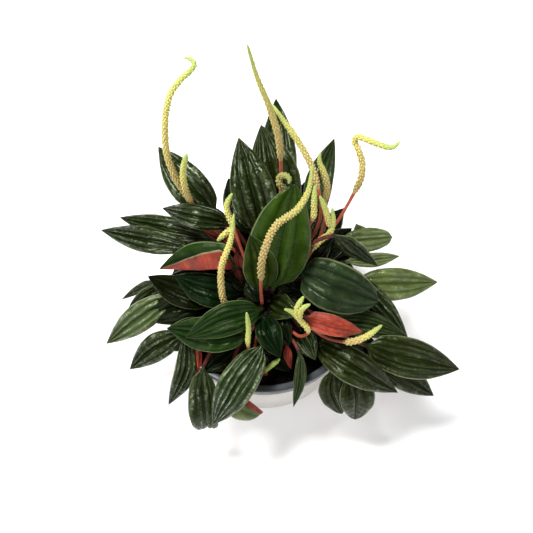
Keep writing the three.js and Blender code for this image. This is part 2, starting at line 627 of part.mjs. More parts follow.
function soil() {
  const low = GROW_FLOOR + WALL + GAP;
  const side = GROW_IN + GAP;
  return lathe([
    [0, low], [inside(low, side), low], [inside(SOIL_SHOULDER, side), SOIL_SHOULDER],
    [inside(SOIL_SHOULDER, side), SOIL_HEIGHT - SOIL_EDGE],
    [inside(LIP_FOOT, side) - SOIL_SLOPE, SOIL_HEIGHT], [0, SOIL_HEIGHT],
  ], POT_SEGMENTS);
}

const CROWN_RINGS = 8;
const CROWN_SEGMENTS = 20;
const CROWN_LOWEST = -0.6;         // radians under its equator, where it turns down to the soil

function crown() {
  const foot = SOIL_HEIGHT + GAP;
  const outline = [[0, foot - CROWN_CENTRE.z]];
  outline.push([CROWN_RADIUS * Math.cos(CROWN_LOWEST), foot - CROWN_CENTRE.z]);
  for (let i = 0; i <= CROWN_RINGS; i++) {
    const angle = CROWN_LOWEST + ((Math.PI / 2 - CROWN_LOWEST) * i) / CROWN_RINGS;
    outline.push([CROWN_RADIUS * Math.cos(angle), CROWN_RADIUS * Math.sin(angle)]);
  }
  outline[outline.length - 1][0] = 0;
  const shape = lathe(outline, CROWN_SEGMENTS);
  shape.rotateX(Math.PI / 2);
  shape.translate(...CROWN_CENTRE.toArray());
  return shape;
}

// ---- Flower stems -----------------------------------------------------------------------------

const SPIKE_STEP = 7;              // mm between rings
const BARE_STEP = 9;
const FLOWER_LEAD = 7;             // how far a flower stalk grows straight out of the crown
const SPIKE_FOOT = 0.75;           // of its thickness, where it begins
const SPIKE_SWELLS = 3;
const SPIKE_THINS_AT = 0.75;       // of its length
const SPIKE_THINS_BY = 0.55;
const FORK_THICKNESS = 0.96;

function spread(points, step) {
  const line = new THREE.CatmullRomCurve3(points, false, "centripetal");
  const count = Math.max(2, Math.round(line.getLength() / step));
  return line.getSpacedPoints(count);
}

function spikeRadius(share) {
  const foot = Math.min(1, SPIKE_FOOT + share * SPIKE_SWELLS);
  const thinned = Math.max(0, share - SPIKE_THINS_AT) / (1 - SPIKE_THINS_AT);
  const tip = 1 - SPIKE_THINS_BY * thinned;
  return SPIKE_RADIUS * foot * tip;
}

// The first spike grows on from the stalk; the others fork from it.
function flowerSkins(flower, seat) {
  const [main, ...forks] = flower.spikes.map((s) => s.map(place));
  const bare = flower.bare.map(place);
  const start = flower.onSoil ? main[0].clone().setZ(SOIL_HEIGHT + GAP) : onCrown(seat, GAP);
  const lead = flower.onSoil ? [] : [onCrown(seat, FLOWER_LEAD)];
  const whole = new THREE.CatmullRomCurve3([start, ...lead, ...bare, ...main], false, "centripetal");
  const foot = (1 + lead.length + bare.length) / (lead.length + bare.length + main.length);
  const points = [];
  const radii = [];
  const add = (part, step, radiusAt) => {
    const count = Math.max(2, Math.round(part.length / step));
    for (let n = 0; n < count; n++) {
      points.push(whole.getPoint(part.at(n / count)));
      radii.push(radiusAt(n / count));
    }
  };
  add(stretch(whole, 0, foot), BARE_STEP, () => PEDUNCLE_RADIUS);
  const bareCount = points.length;
  add(stretch(whole, foot, 1), SPIKE_STEP, spikeRadius);
  const skins = [tube([...points, main[main.length - 1]], radii)];
  for (const fork of forks) {
    const row = spread(fork, SPIKE_STEP);
    skins.push(tube(row, row.map((_, i) => spikeRadius(i / (row.length - 1)) * FORK_THICKNESS)));
  }
  return { skins, points, bareCount };
}

// ---- The whole --------------------------------------------------------------------------------

const COLOURS = {
  cover: 0xcbc6be, lip: 0x7d807f, soil: 0x17120e, crown: 0x6b2a1c, leaf: 0x2c4a24, young: 0x3f7a22,
  turned: 0x9c3a2c, flower: 0xaab45a,
};

function meshOf(name, geometry, colour, roughness) {
  const material = new THREE.MeshStandardMaterial({ color: colour, roughness, metalness: 0 });
  material.name = name;
  const mesh = new THREE.Mesh(geometry, material);
  mesh.name = name;
  return mesh;
}

function upright(geometry) {
  geometry.rotateX(Math.PI / 2);
  return geometry;
}

function skinOf(mesh) {
  const { position } = mesh.geometry.attributes;
  const corner = (_, i) => new THREE.Vector3().fromBufferAttribute(position, i);
  const corners = Array.from({ length: position.count }, corner);
  return { corners, faces: [...mesh.geometry.index.array] };
}

const TURNED = 180;                // degrees: the leaf's underside faces the view
const BEHIND_ALL = 1e6;            // rank of the pots, the soil and the crown
const STALK_LEAD = 8;              // how far a leaf's stalk grows straight out of the crown,
const STALK_LEAD_SHARE = 0.45;     // and at most this share of the way to its blade
const STALK_RISE_AT = 0.6;         // of the rest of the way, where it bends,
const STALK_SWING = 0.12;          // and how far back from the blade's heading

function build() {
  const root = new THREE.Group();
  root.name = "potted_peperomia";
  root.add(meshOf("cover_pot", upright(coverPot()), COLOURS.cover, 0.35));
  root.add(meshOf("grow_pot", upright(growPot()), COLOURS.lip, 0.4));
  root.add(meshOf("soil", upright(soil()), COLOURS.soil, 0.95));
  root.add(meshOf("crown", crown(), COLOURS.crown, 0.6));

  const leaves = LEAVES.map((leaf, rank) => ({ ...leaf, rank: rank * 2 + 1, blade: leaf.path.map(place) }));
  const rankOf = (name) => leaves.find((leaf) => leaf.name === name).rank - 1;
  const targets = [
    ...leaves.map((leaf) => leaf.blade[0]),
    ...FLOWERS.map((flower) => place([...flower.bare, ...flower.spikes[0]][0])),
  ];
  const seats = seatDirections(targets);
  leaves.forEach((leaf, i) => {
    const foot = leaf.blade[0];
    leaf.seat = seats[i];
    const seat = onCrown(leaf.seat, GAP);
    const out = onCrown(seats[i], Math.min(STALK_LEAD, STALK_LEAD_SHARE * foot.distanceTo(seat)));
    const rise = out.clone().lerp(foot, STALK_RISE_AT);
    const back = foot.clone().sub(leaf.blade[1]).normalize();
    rise.addScaledVector(back, foot.distanceTo(out) * STALK_SWING);
    leaf.guides = [seat, out, rise, ...leaf.blade];
  });

  const fixed = [];
  const flowers = FLOWERS.map((flower, i) => {
    const made = flowerSkins(flower, seats[leaves.length + i]);
    const stations = [...made.points.keys()];
    const rank = rankOf(flower.before);
    const bareRank = flower.bareBefore ? rankOf(flower.bareBefore) : rank;
    const whole = { ...made.skins[0], stations };
    fixed.push({ fixed: true, rank, owner: flower, cells: layer(whole, made.bareCount, 999) });
    fixed.push({ fixed: true, rank: bareRank, owner: flower, stalk: true,
      cells: layer(whole, 1, made.bareCount - 1),
      rod: made.points.slice(1, made.bareCount).map((point) => ({ point, radius: PEDUNCLE_RADIUS })) });
    for (const fork of made.skins.slice(1)) {
      fixed.push({ fixed: true, rank, owner: flower, cells: layer(fork) });
    }
    return { flower, made };
  });
  for (const mesh of root.children) {
    fixed.push({ fixed: true, rank: BEHIND_ALL, owner: mesh.name, cells: layer(skinOf(mesh)) });
  }
  settle(leaves, fixed);

  for (const leaf of leaves) {
    const upper = leaf.young ? COLOURS.young : COLOURS.leaf;
    const colour = leaf.roll === TURNED ? COLOURS.turned : upper;
    root.add(meshOf(leaf.name, toGeometry(leafSkin(leaf, leaf.guides)), colour, 0.45));
  }
  for (const { flower, made } of flowers) {
    const whole = made.skins.length > 1 ? united(made.skins) : made.skins[0];
    root.add(meshOf(flower.name, toGeometry(whole), COLOURS.flower, 0.7));
  }
  return root;
}

export default build();
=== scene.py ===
import math
from typing import NamedTuple

import bmesh
import bpy
import numpy as np
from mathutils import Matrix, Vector, noise
from numpy.linalg import norm


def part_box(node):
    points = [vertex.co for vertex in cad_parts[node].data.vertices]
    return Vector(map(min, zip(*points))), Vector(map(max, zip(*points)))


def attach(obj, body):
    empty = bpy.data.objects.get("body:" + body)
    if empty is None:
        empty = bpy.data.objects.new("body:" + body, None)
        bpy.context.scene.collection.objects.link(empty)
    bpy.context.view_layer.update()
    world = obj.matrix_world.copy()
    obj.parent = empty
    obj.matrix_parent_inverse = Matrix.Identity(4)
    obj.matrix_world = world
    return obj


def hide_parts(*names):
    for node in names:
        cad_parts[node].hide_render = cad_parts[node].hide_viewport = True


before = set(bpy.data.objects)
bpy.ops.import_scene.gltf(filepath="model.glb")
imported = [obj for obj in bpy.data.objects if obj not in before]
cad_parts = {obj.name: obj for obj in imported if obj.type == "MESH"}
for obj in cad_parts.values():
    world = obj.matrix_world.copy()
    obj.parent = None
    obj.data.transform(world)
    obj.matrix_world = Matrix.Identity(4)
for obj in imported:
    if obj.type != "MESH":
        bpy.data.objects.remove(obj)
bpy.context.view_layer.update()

MM = 0.001

# ---- The view ----
# A place is [across, down, height]: the point of the 533 x 533 view in which it is seen, in
# pixels, and its height over the table in millimetres. The view looks down on the pot's rim.

VIEW_SIDE = 533  # pixels
MIDDLE = VIEW_SIDE / 2
NEAREST = 0.01  # m, where the camera's sight begins
FOCAL = 740  # pixels
SENSOR = 36  # mm
PITCH = math.radians(65)
RANGE = 457  # mm, from the rim's centre, along the line of sight
RIM_HEIGHT = 66  # mm
RIM_OFF = (-1.5, -18.8)  # mm, the rim's centre off the line of sight, across and up

AHEAD = np.array([0, math.cos(PITCH), -math.sin(PITCH)])
ACROSS = np.array([1.0, 0, 0])
UPWARD = np.cross(ACROSS, AHEAD)
EYE = (np.array([0, 0, RIM_HEIGHT]) - RANGE * AHEAD - RIM_OFF[0] * ACROSS - RIM_OFF[1] * UPWARD)


def place(seen):
    """The point, in metres, that is seen at a place."""
    across, down, height = seen
    ray = AHEAD + ACROSS * (across - MIDDLE) / FOCAL + UPWARD * (MIDDLE - down) / FOCAL
    return (EYE + ray * (height - EYE[2]) / ray[2]) * MM


def put_in_scene(name, data):
    thing = bpy.data.objects.new(name, data)
    bpy.context.scene.collection.objects.link(thing)
    return thing


def make_camera():
    data = bpy.data.cameras.new("camera")
    data.sensor_width = SENSOR
    data.lens = FOCAL * SENSOR / VIEW_SIDE
    data.clip_start = NEAREST
    camera = put_in_scene("camera", data)
    camera.location = EYE * MM
    camera.rotation_euler = (math.pi / 2 - PITCH, 0, 0)
    bpy.context.scene.camera = camera


# ---- What the flower stems follow ----

class Stem(NamedTuple):
    taper: float = 0.35  # share of a spike's length over which it thins toward its tip
    girth: float = 1.0  # thickness of its spikes, against the usual
    tone: float = 1.0  # brightness, against the usual
    green: float = 0.0  # how unripe a spike is at its foot; 1 is all green
    on_soil: bool = False  # it stands on the soil, not on the crown


# Its settings, the places of its bare red stalk from the crown upward, and the spikes it bears,
# each from its foot to its tip.
FLOWERS = {
    "flower_centre": (
        Stem(girth=1.08, green=-0.35, tone=0.83), [[262, 303, 92], [261, 290, 105]], [
        [[261, 278, 114], [263, 256, 130], [275.7, 226, 142], [296.6, 210, 147],
         [308, 192, 151], [313, 163, 160]]]),
    "flower_front_short": (Stem(girth=0.85, green=0.7), [[258, 332, 66], [252, 356, 70]], [
        [[248, 344, 87], [248.5, 328, 98], [246.6, 312, 110]]]),
    "flower_left": (Stem(), [[240, 303, 78]], [
        [[225.5, 303, 86], [221, 281, 100], [222, 265, 110], [231, 239, 122], [234, 213, 134]]]),
    "flower_right_cluster": (Stem(girth=0.92, green=0.5), [[285, 324, 78], [299, 336, 85]], [
        [[308.5, 331, 97], [301, 321, 103], [292, 312, 109], [284, 309, 113]],
        [[296, 316, 106], [298, 306, 113], [304, 296, 119]],
        [[299, 319, 104], [302, 309, 113], [310.5, 304, 117]]]),
    "flower_right_low": (Stem(tone=0.92), [[300, 319, 77], [325, 337, 83]], [
        [[346, 342, 90], [358, 340, 98], [368, 335.5, 102], [382.5, 324.7, 106]]]),
    "flower_front_bud": (Stem(green=1.0, tone=1.25, on_soil=True), [], [
        [[265.5, 370.5, 66], [272, 365, 70], [280, 358.5, 75]]]),
    "flower_back_left_inner": (Stem(green=0.4), [[246, 262, 96]], [
        [[233, 226, 112], [228, 214, 117], [227, 204, 122], [232.4, 193, 128]],
        [[233, 228, 110], [226, 233, 108], [217, 241.5, 103]]]),
    "flower_back_left_tall": (Stem(taper=0.12), [[240, 258, 86], [214, 228, 98]], [
        [[190.5, 201, 112], [181, 187, 124], [173.5, 173, 134], [167.5, 157, 144],
         [165, 136, 156], [166, 112, 168], [171, 93, 176], [181.6, 78.7, 182],
         [191.5, 69.5, 186], [194.3, 64, 188], [190, 58.8, 189], [182.5, 58, 188]],
        [[190.5, 201, 112], [185, 188, 128], [183, 172, 140], [186.8, 153, 154]]]),
    "flower_right_tall": (Stem(taper=0.15), [[306, 262, 90], [337, 222, 105]], [
        [[355, 191, 120], [361.5, 176, 132], [362, 162, 139], [358.5, 150, 144],
         [354.6, 141, 147], [358, 137.3, 150], [366.5, 139.6, 152], [379, 144.5, 153],
         [392, 147.5, 155], [401, 141, 158]]]),
    "flower_back_fork": (Stem(green=0.4), [[301, 268, 92]], [
        [[313.5, 248, 108], [321, 239.5, 112], [329, 234, 116], [333, 222, 122],
         [332.3, 207.6, 130]],
        [[330, 226, 120], [325, 208, 130], [319.6, 195.5, 136]]]),
    "flower_back_slim": (Stem(green=0.5), [[290, 250, 106]], [
        [[313, 218, 124], [314, 203.5, 132], [315, 185, 141]]]),
    "flower_back_right": (Stem(), [[302, 262, 78], [322, 232, 96]], [
        [[325.5, 200, 118], [327, 186, 126], [323.5, 172, 134], [319.5, 162, 139],
         [320, 152, 144]]]),
    "flower_back_arched": (Stem(), [[290, 262, 90], [315, 232, 108], [321, 210, 121]], [
        [[317.5, 186, 134], [311, 165, 143], [294, 135, 156], [281, 117, 163],
         [272, 104, 166]]]),
    "flower_back_tall": (Stem(taper=0.75), [[276, 262, 86], [279, 215, 106], [281, 180, 123]], [
        [[280.5, 158, 137], [278.5, 138, 152], [270, 108.5, 172], [257, 77, 192],
         [247, 43.6, 212]]]),
    "flower_back_knot": (
        Stem(green=0.3, tone=0.5), [[284, 262, 80], [290, 222, 100], [289, 200, 118]], [
        [[285.5, 190, 127], [279.5, 184, 132], [279.5, 177, 135], [285, 175.5, 138],
         [289.5, 179, 140], [288.5, 184, 141]]]),
}

# ---- How each leaf looks ----


class Style(NamedTuple):
    look: str = "dark"  # its upper surface, by its name in LOOKS
    depth: float = 1.0  # of the folds between the side veins, against the usual
    crest: float = 1.4  # over 1: narrow ridges, wide valleys; under 1: the reverse
    pairs: int = 1  # side veins on each side of the midrib
    turned: bool = False  # the underside faces the view


LEAF_STYLES = {
    "leaf_young_broad": Style("young", 0.3, 1.0),
    "leaf_young_upright": Style("deep", 0.35, 1.0),
    "leaf_front_left_upper": Style("fresh", 0.55, pairs=2),
    "leaf_front_left_lower": Style("fresh", 0.45),
    "leaf_left_inner": Style("painted_shade_green", 0.4),
    "leaf_left_olive": Style("painted_shade_dark", 0.3),
    "leaf_left_folded": Style("fresh", 0.4),
    "leaf_front_over_rim": Style("striped", 1.2, 1.6, pairs=2),
    "leaf_front_small": Style("painted_shade_green", 0.4),
    "leaf_front_right_inner": Style("olive", 0.5),
    "leaf_front_narrow": Style("grey", 0.9),
    "leaf_front_right_long": Style("olive", 0.9),
    "leaf_right_facing": Style("rimmed", 0.6, 0.8),
    "leaf_right_turned": Style(depth=0.8, crest=0.8, turned=True),
    "leaf_front_red": Style("painted_shade_green", 0.5, turned=True),
    "leaf_front_curled": Style("pale", 0.4),
    "leaf_front_left_blunt": Style(depth=0.6, crest=0.8),
    "leaf_left_glossy": Style("silver", 1.4),
    "leaf_left_low": Style(depth=1.3),
    "leaf_left_long": Style(depth=1.2),
    "leaf_left_long_behind": Style(depth=1.1),
    "leaf_right_low_long": Style("olive", 0.7, 0.8, pairs=2),
    "leaf_right_outer": Style("pale", 0.6, 1.0),
    "leaf_right_under": Style("olive", 0.8),
    "leaf_right_glossy": Style("grey", 1.0, pairs=2),
    "leaf_front_right_round": Style("olive", 0.5, 0.8),
    "leaf_front_right_edge": Style("olive", 0.4),
    "leaf_back_right_pale": Style("bright", 0.7),
    "leaf_back_right_tip": Style("bright", 0.5),
    "leaf_back_right_low": Style("bright", 0.7),
    "leaf_back_right_narrow": Style("grey", 0.8),
    "leaf_back_right_tall": Style("grey", 0.9),
    "leaf_back_tall": Style("olive", 0.9, pairs=2),
    "leaf_back_centre": Style(depth=1.3),
}

# Small leaves in the shade between the others, which have no plain solid: the blade's path as
# places, its width in mm and its style. Most take the shade look, whose darker colours are
# painted shade.
SHADE = Style("shade", 0.6)
SHADE_TURNED = SHADE._replace(turned=True)
SMALL_LEAVES = [
    ([[243, 288, 84], [238, 266, 90], [236, 247, 92]], 6, SHADE_TURNED),
    ([[232, 246, 80], [216, 236, 81], [200, 229, 80]], 9, SHADE_TURNED),
    ([[276, 300, 84], [290, 293, 86], [303, 292, 84]], 9, Style("olive", 0.6)),
    ([[281, 313, 86], [279, 328, 84], [290, 346, 78]], 15, SHADE),
    ([[306, 268, 90], [320, 255, 96], [331, 239, 99]], 9, SHADE),
    ([[240, 344, 70], [222, 358, 70], [203, 372, 67]], 15, SHADE),
    ([[204, 300, 73], [174, 308, 71], [144, 320, 61]], 20, SHADE),
    ([[210, 322, 71], [182, 336, 70], [156, 348, 61]], 18, SHADE),
    ([[164, 285, 64], [146, 297, 62], [127, 311, 52]], 10, Style("olive", 0.6)),
    ([[262, 352, 68], [278, 362, 68], [290, 372, 66]], 9, SHADE),
    ([[216, 280, 74], [184, 284, 73], [156, 290, 65]], 18, SHADE),
    ([[222, 262, 76], [192, 252, 76], [166, 247, 70]], 16, SHADE),
    ([[236, 246, 78], [214, 222, 79], [194, 203, 73]], 17, SHADE),
    ([[252, 236, 78], [238, 206, 82], [228, 178, 76]], 18, SHADE),
    ([[274, 232, 78], [270, 200, 82], [268, 170, 76]], 19, SHADE),
    ([[296, 240, 78], [304, 206, 84], [311, 176, 80]], 17, SHADE),
    ([[310, 250, 78], [330, 226, 82], [344, 208, 77]], 14, SHADE),
    ([[306, 264, 86], [316, 234, 92], [323, 204, 96]], 17, SHADE),
    ([[314, 262, 84], [336, 241, 87], [352, 228, 84]], 15, SHADE),
    ([[198, 346, 72], [198, 362, 68], [196, 377, 62]], 5, Style(depth=0.6, turned=True)),
    ([[318, 262, 78], [345, 250, 77], [368, 242, 71]], 14, SHADE),
    ([[322, 284, 78], [350, 296, 75], [376, 312, 69]], 16, SHADE),
    ([[318, 302, 76], [346, 320, 74], [370, 336, 68]], 17, SHADE),
    ([[330, 326, 76], [357, 341, 73], [384, 354, 66]], 15, SHADE),
    ([[308, 318, 74], [330, 340, 71], [346, 358, 66]], 14, SHADE),
    ([[296, 288, 86], [284, 284, 90], [276, 276, 91]], 9, SHADE),
    ([[262, 300, 86], [252, 292, 87], [246, 280, 88]], 9, SHADE),
    ([[272, 312, 86], [262, 322, 85], [252, 332, 82]], 9, SHADE),
    ([[284, 300, 84], [296, 308, 85], [308, 312, 82]], 10, SHADE),
    ([[252, 302, 83], [240, 308, 84], [228, 308, 82]], 11, SHADE),
    ([[250, 290, 83], [240, 280, 86], [228, 272, 85]], 11, SHADE),
]

# ---- Meshes from rings ----


def add_piece(name, points, faces, materials, face_slots=None, values=None):
    """A smooth mesh object; values are numbers for each point that its materials read."""
    mesh = bpy.data.meshes.new(name)
    mesh.from_pydata([tuple(p) for p in points], [], faces)
    for material in materials:
        mesh.materials.append(material)
    mesh.polygons.foreach_set("use_smooth", [True] * len(faces))
    if face_slots is not None:
        mesh.polygons.foreach_set("material_index", face_slots)
    for key, numbers in (values or {}).items():
        layer = mesh.attributes.new(key, "FLOAT", "POINT")
        layer.data.foreach_set("value", np.asarray(numbers, dtype=np.float32))
    mesh.update()
    return put_in_scene(name, mesh)


def tube_faces(rows, around, first=0):
    """Faces of a tube of rings that is closed by a point at each end; the points are the start,
    the rings and the end, from number first on."""
    at = lambda row, k: first + 1 + row * around + k % around
    end = first + 1 + rows * around
    faces = [(first, at(0, k + 1), at(0, k)) for k in range(around)]
    for row in range(rows - 1):
        for k in range(around):
            faces.append((at(row, k), at(row, k + 1), at(row + 1, k + 1), at(row + 1, k)))
    faces += [(at(rows - 1, k), at(rows - 1, k + 1), end) for k in range(around)]
    return faces


def turn(count):
    """The angles of points spaced evenly round a ring."""
    return np.linspace(0, 2 * math.pi, count, endpoint=False)


def unit(vector):
    return vector / norm(vector, axis=-1, keepdims=True)


def across_to(side, tangent):
    return unit(side - tangent * np.dot(side, tangent))


def directions(points):
    """Unit tangents along a row of points."""
    return unit(np.gradient(points, axis=0))


def distances(points):
    """How far along a row of points each of them is."""
    return np.append(0, np.cumsum(norm(np.diff(points, axis=0), axis=1)))


def carried(side, tangents):
    """A side direction carried along a line without twisting."""
    sides = []
    for tangent in tangents:
        side = across_to(side, tangent)
        sides.append(side)
    return np.array(sides)


def spline_weights(knots, at):
    """Weights of the values at the knots, for a smooth curve through them, read at each of at."""
    knots = np.asarray(knots, float)
    n = len(knots)
    slopes = np.zeros((n, n))
    for k in range(n):
        low, high = max(k - 1, 0), min(k + 1, n - 1)
        slopes[k, high] += 1 / (knots[high] - knots[low])
        slopes[k, low] -= 1 / (knots[high] - knots[low])
    at = np.asarray(at, float)
    flat = np.clip(at.ravel(), knots[0], knots[-1])
    i = np.clip(np.searchsorted(knots, flat, side="right") - 1, 0, n - 2)
    gap = knots[i + 1] - knots[i]
    w = (flat - knots[i]) / gap
    here = np.eye(n)
    weights = ((2 * w**3 - 3 * w**2 + 1)[:, None] * here[i]
               + (3 * w**2 - 2 * w**3)[:, None] * here[i + 1]
               + (gap * (w**3 - 2 * w**2 + w))[:, None] * slopes[i]
               + (gap * (w**3 - w**2))[:, None] * slopes[i + 1])
    return weights.reshape(at.shape + (n,))


def smooth_step(x):
    x = np.clip(x, 0, 1)
    return x * x * (3 - 2 * x)


def ripple(points, scale, seed):
    """Smooth noise from -1 to 1 at each of many points."""
    flat = np.reshape(points, (-1, 3)) * scale + seed
    values = [noise.noise(Vector(p)) for p in flat]
    return np.reshape(values, np.shape(points)[:-1])


# ---- Leaves ----

RING = 8  # corners round a leaf's plain solid
STALK_RINGS = 5  # of them round, the last at the blade's foot
SIDES = [-1, -0.5, 0, 0.5, 1]  # where the plain blade's points lie, in half widths
OUTLINE = [  # of a small leaf: along the blade, share of the half width
    (0.09, 0.50), (0.23, 0.85), (0.41, 1.0), (0.60, 0.88), (0.78, 0.57), (0.92, 0.23)]
VEINS = {1: [0.5], 2: [0.35, 0.69]}  # for each number of pairs, where they run, in half widths
VEIN_STRAY = 0.035  # how far one may run from there
RIDGE_COLUMNS = {1: 9, 2: 7}  # for each number of pairs, from vein to vein
BLADE_ROWS = 90
ROW_CROWDING = 0.04  # how far rows are drawn toward the blade's ends
LAST_ROW = 0.988  # where the last one lies, as a share of the blade
STALK_STEP = 2.5 * MM
LEAF_THICKNESS = 0.85 * MM
STALK_RADIUS = 1.15 * MM
SEAT_FLARE = (0.55, 2.2 * MM)  # the stalk's, at the crown: share of its radius, and reach
RIB_RADIUS = 0.9 * MM  # the midrib, under the blade
DEEPEST = 0.95 * MM  # fold between two veins
DEEPEST_SHARE = 0.34  # of the width between them
QUILT = 3.0 * MM  # from one cross fold to the next
QUILT_SLANT = 0.55  # how far a cross fold runs toward the tip for each step outward
QUILT_RISE = (0.55, 0.16)  # of the coarse and the fine cross folds, in fold depths
WANDER = 0.07  # how far the folds bend sideways, in half widths
MARGIN_WAVE = (14 * MM, 0.4 * MM)  # its length and rise
ARCH = 0.15  # how high each half arches, in half widths
FOOT_SHARE = 0.13  # how much of the blade rounds into the stalk
SMALL_ARCH = 0.16  # rise of a small leaf's margins, in half widths
SMALL_STALK_RISE = 1.5 * MM


def crown_size():
    low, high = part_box("crown")
    radius = (high.x - low.x) / 2
    return np.array([(low.x + high.x) / 2, (low.y + high.y) / 2, high.z - radius]), radius


CROWN_CENTRE, CROWN_RADIUS = crown_size()


def solid_of(node):
    """The corners of a plain solid, each once, and its faces."""
    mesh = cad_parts[node].data
    corners = np.array([v.co[:] for v in mesh.vertices])
    _, first, back = np.unique(np.round(corners, 6), axis=0, return_index=True,
                               return_inverse=True)
    back = back.reshape(-1)
    faces = [[back[v] for v in face.vertices] for face in mesh.polygons]
    return corners[first], faces


def leaf_rings(node):
    """The plain leaf's rings from its seat to its tip: [ring, corner, xyz], and the tip."""
    points, faces = solid_of(node)
    near = [set() for _ in points]
    follows = {}
    for a, b, c in faces:
        for i, j, k in ((a, b, c), (b, c, a), (c, a, b)):
            near[i].update((j, k))
            follows[(i, j)] = k
    seat = int(np.argmin(norm(points - CROWN_CENTRE, axis=1)))
    level = {seat: 0}
    queue = [seat]
    for i in queue:
        for j in sorted(near[i] - level.keys()):
            level[j] = level[i] + 1
            queue.append(j)
    last = level[queue[-1]]
    rings = []
    for value in range(1, last):
        members = [i for i in queue if level[i] == value]
        after = {i: j for (i, j), k in follows.items()
                 if level[i] == value == level[j] and level[k] == value + 1}
        walk = members[:1]
        while len(walk) < RING:
            walk.append(after[walk[-1]])
        rings.append(points[walk])
    return np.array(rings), points[queue[-1]]


def plain_tracks(node, turned):
    """Five lines from the blade's foot to its tip, left margin to right, [station, line, xyz];
    the stalk's centre line; and the direction across the foot."""
    rings, tip = leaf_rings(node)
    centres = rings.mean(axis=1)
    middle = STALK_RINGS + 2
    half = RING // 2
    rows = {}
    ups = {}
    for index in [*range(middle, STALK_RINGS - 1, -1), *range(middle + 1, len(rings))]:
        ring = rings[index]
        spans = [norm(ring[k] - ring[k + half]) for k in range(half)]
        k = int(np.argmin(spans))
        if index == middle:
            wanted = (EYE * MM - centres[index]) * (-1 if turned else 1)
        else:
            wanted = ups[index - 1 if index > middle else index + 1]
        if np.dot(ring[k] - ring[(k + half) % RING], wanted) < 0:
            k += half
        ups[index] = ring[k % RING] - ring[(k + half) % RING]
        left, quarter, top, three, right, below3, below, below1 = (
            ring[(k - 2 + n) % RING] for n in range(RING))
        rows[index] = [left, (quarter + below1) / 2, (top + below) / 2, (three + below3) / 2, right]
    stations = [rows[i] for i in range(STALK_RINGS, len(rings))]
    along = unit(stations[0][2] - centres[STALK_RINGS - 2])
    side = across_to(stations[0][4] - stations[0][0], along)
    foot = [centres[STALK_RINGS - 1] + side * STALK_RADIUS * s for s in SIDES]
    return np.array([foot, *stations, [tip] * len(SIDES)]), centres[:STALK_RINGS], side


def free_tracks(path, wide, turned):
    """The same for a leaf that has no plain solid, from its path and its width."""
    line = Line([place(p) for p in path])
    at = lambda share: line.at(line.even_share(share))
    heading = unit(at(0.5) - at(0.3))
    side = unit(np.cross(heading, EYE * MM - at(0.4))) * (-1 if turned else 1)
    foot = at(0)
    rows = [[foot + side * STALK_RADIUS * s for s in SIDES]]
    for share, width in OUTLINE:
        heading = unit(at(share + 0.04) - at(share - 0.04))
        side = across_to(side, heading)
        up = np.cross(side, heading)
        half = wide * MM / 2 * width
        rows.append([at(share) + side * half * s + up * half * SMALL_ARCH * abs(s)
                     for s in SIDES])
    out = unit(foot - CROWN_CENTRE)
    start = CROWN_CENTRE + out * CROWN_RADIUS
    bend = start + 0.4 * (foot - start) + np.array([0, 0, SMALL_STALK_RISE])
    rows.append([line.at(1)] * len(SIDES))
    side = across_to(rows[1][4] - rows[1][0], unit(at(0.05) - foot))
    return np.array(rows), np.array([start, bend, foot]), side


def leaf_columns(style, rng):
    """Where the columns of the fine blade lie, in half widths, and each one's height on the ridge
    between two veins, from 0 in a groove to 1."""
    steps = RIDGE_COLUMNS[style.pairs]
    halves = []
    for _ in range(2):
        veins = [v + rng.uniform(-VEIN_STRAY, VEIN_STRAY) for v in VEINS[style.pairs]]
        bounds = [0, *veins, 1]
        places, heights = [0.0], [0.0]
        for low, high in zip(bounds, bounds[1:]):
            reach = 0.84 if high == 1 else 1  # the margin stays above the groove
            for n in range(1, steps + 1):
                x = n / steps
                places.append(low + (high - low) * x)
                heights.append(max(0, math.sin(math.pi * x * reach)) ** style.crest)
        halves.append((np.array(places), np.array(heights)))
    (left, low), (right, high) = halves
    return np.concatenate([-left[:0:-1], right]), np.concatenate([low[:0:-1], high])


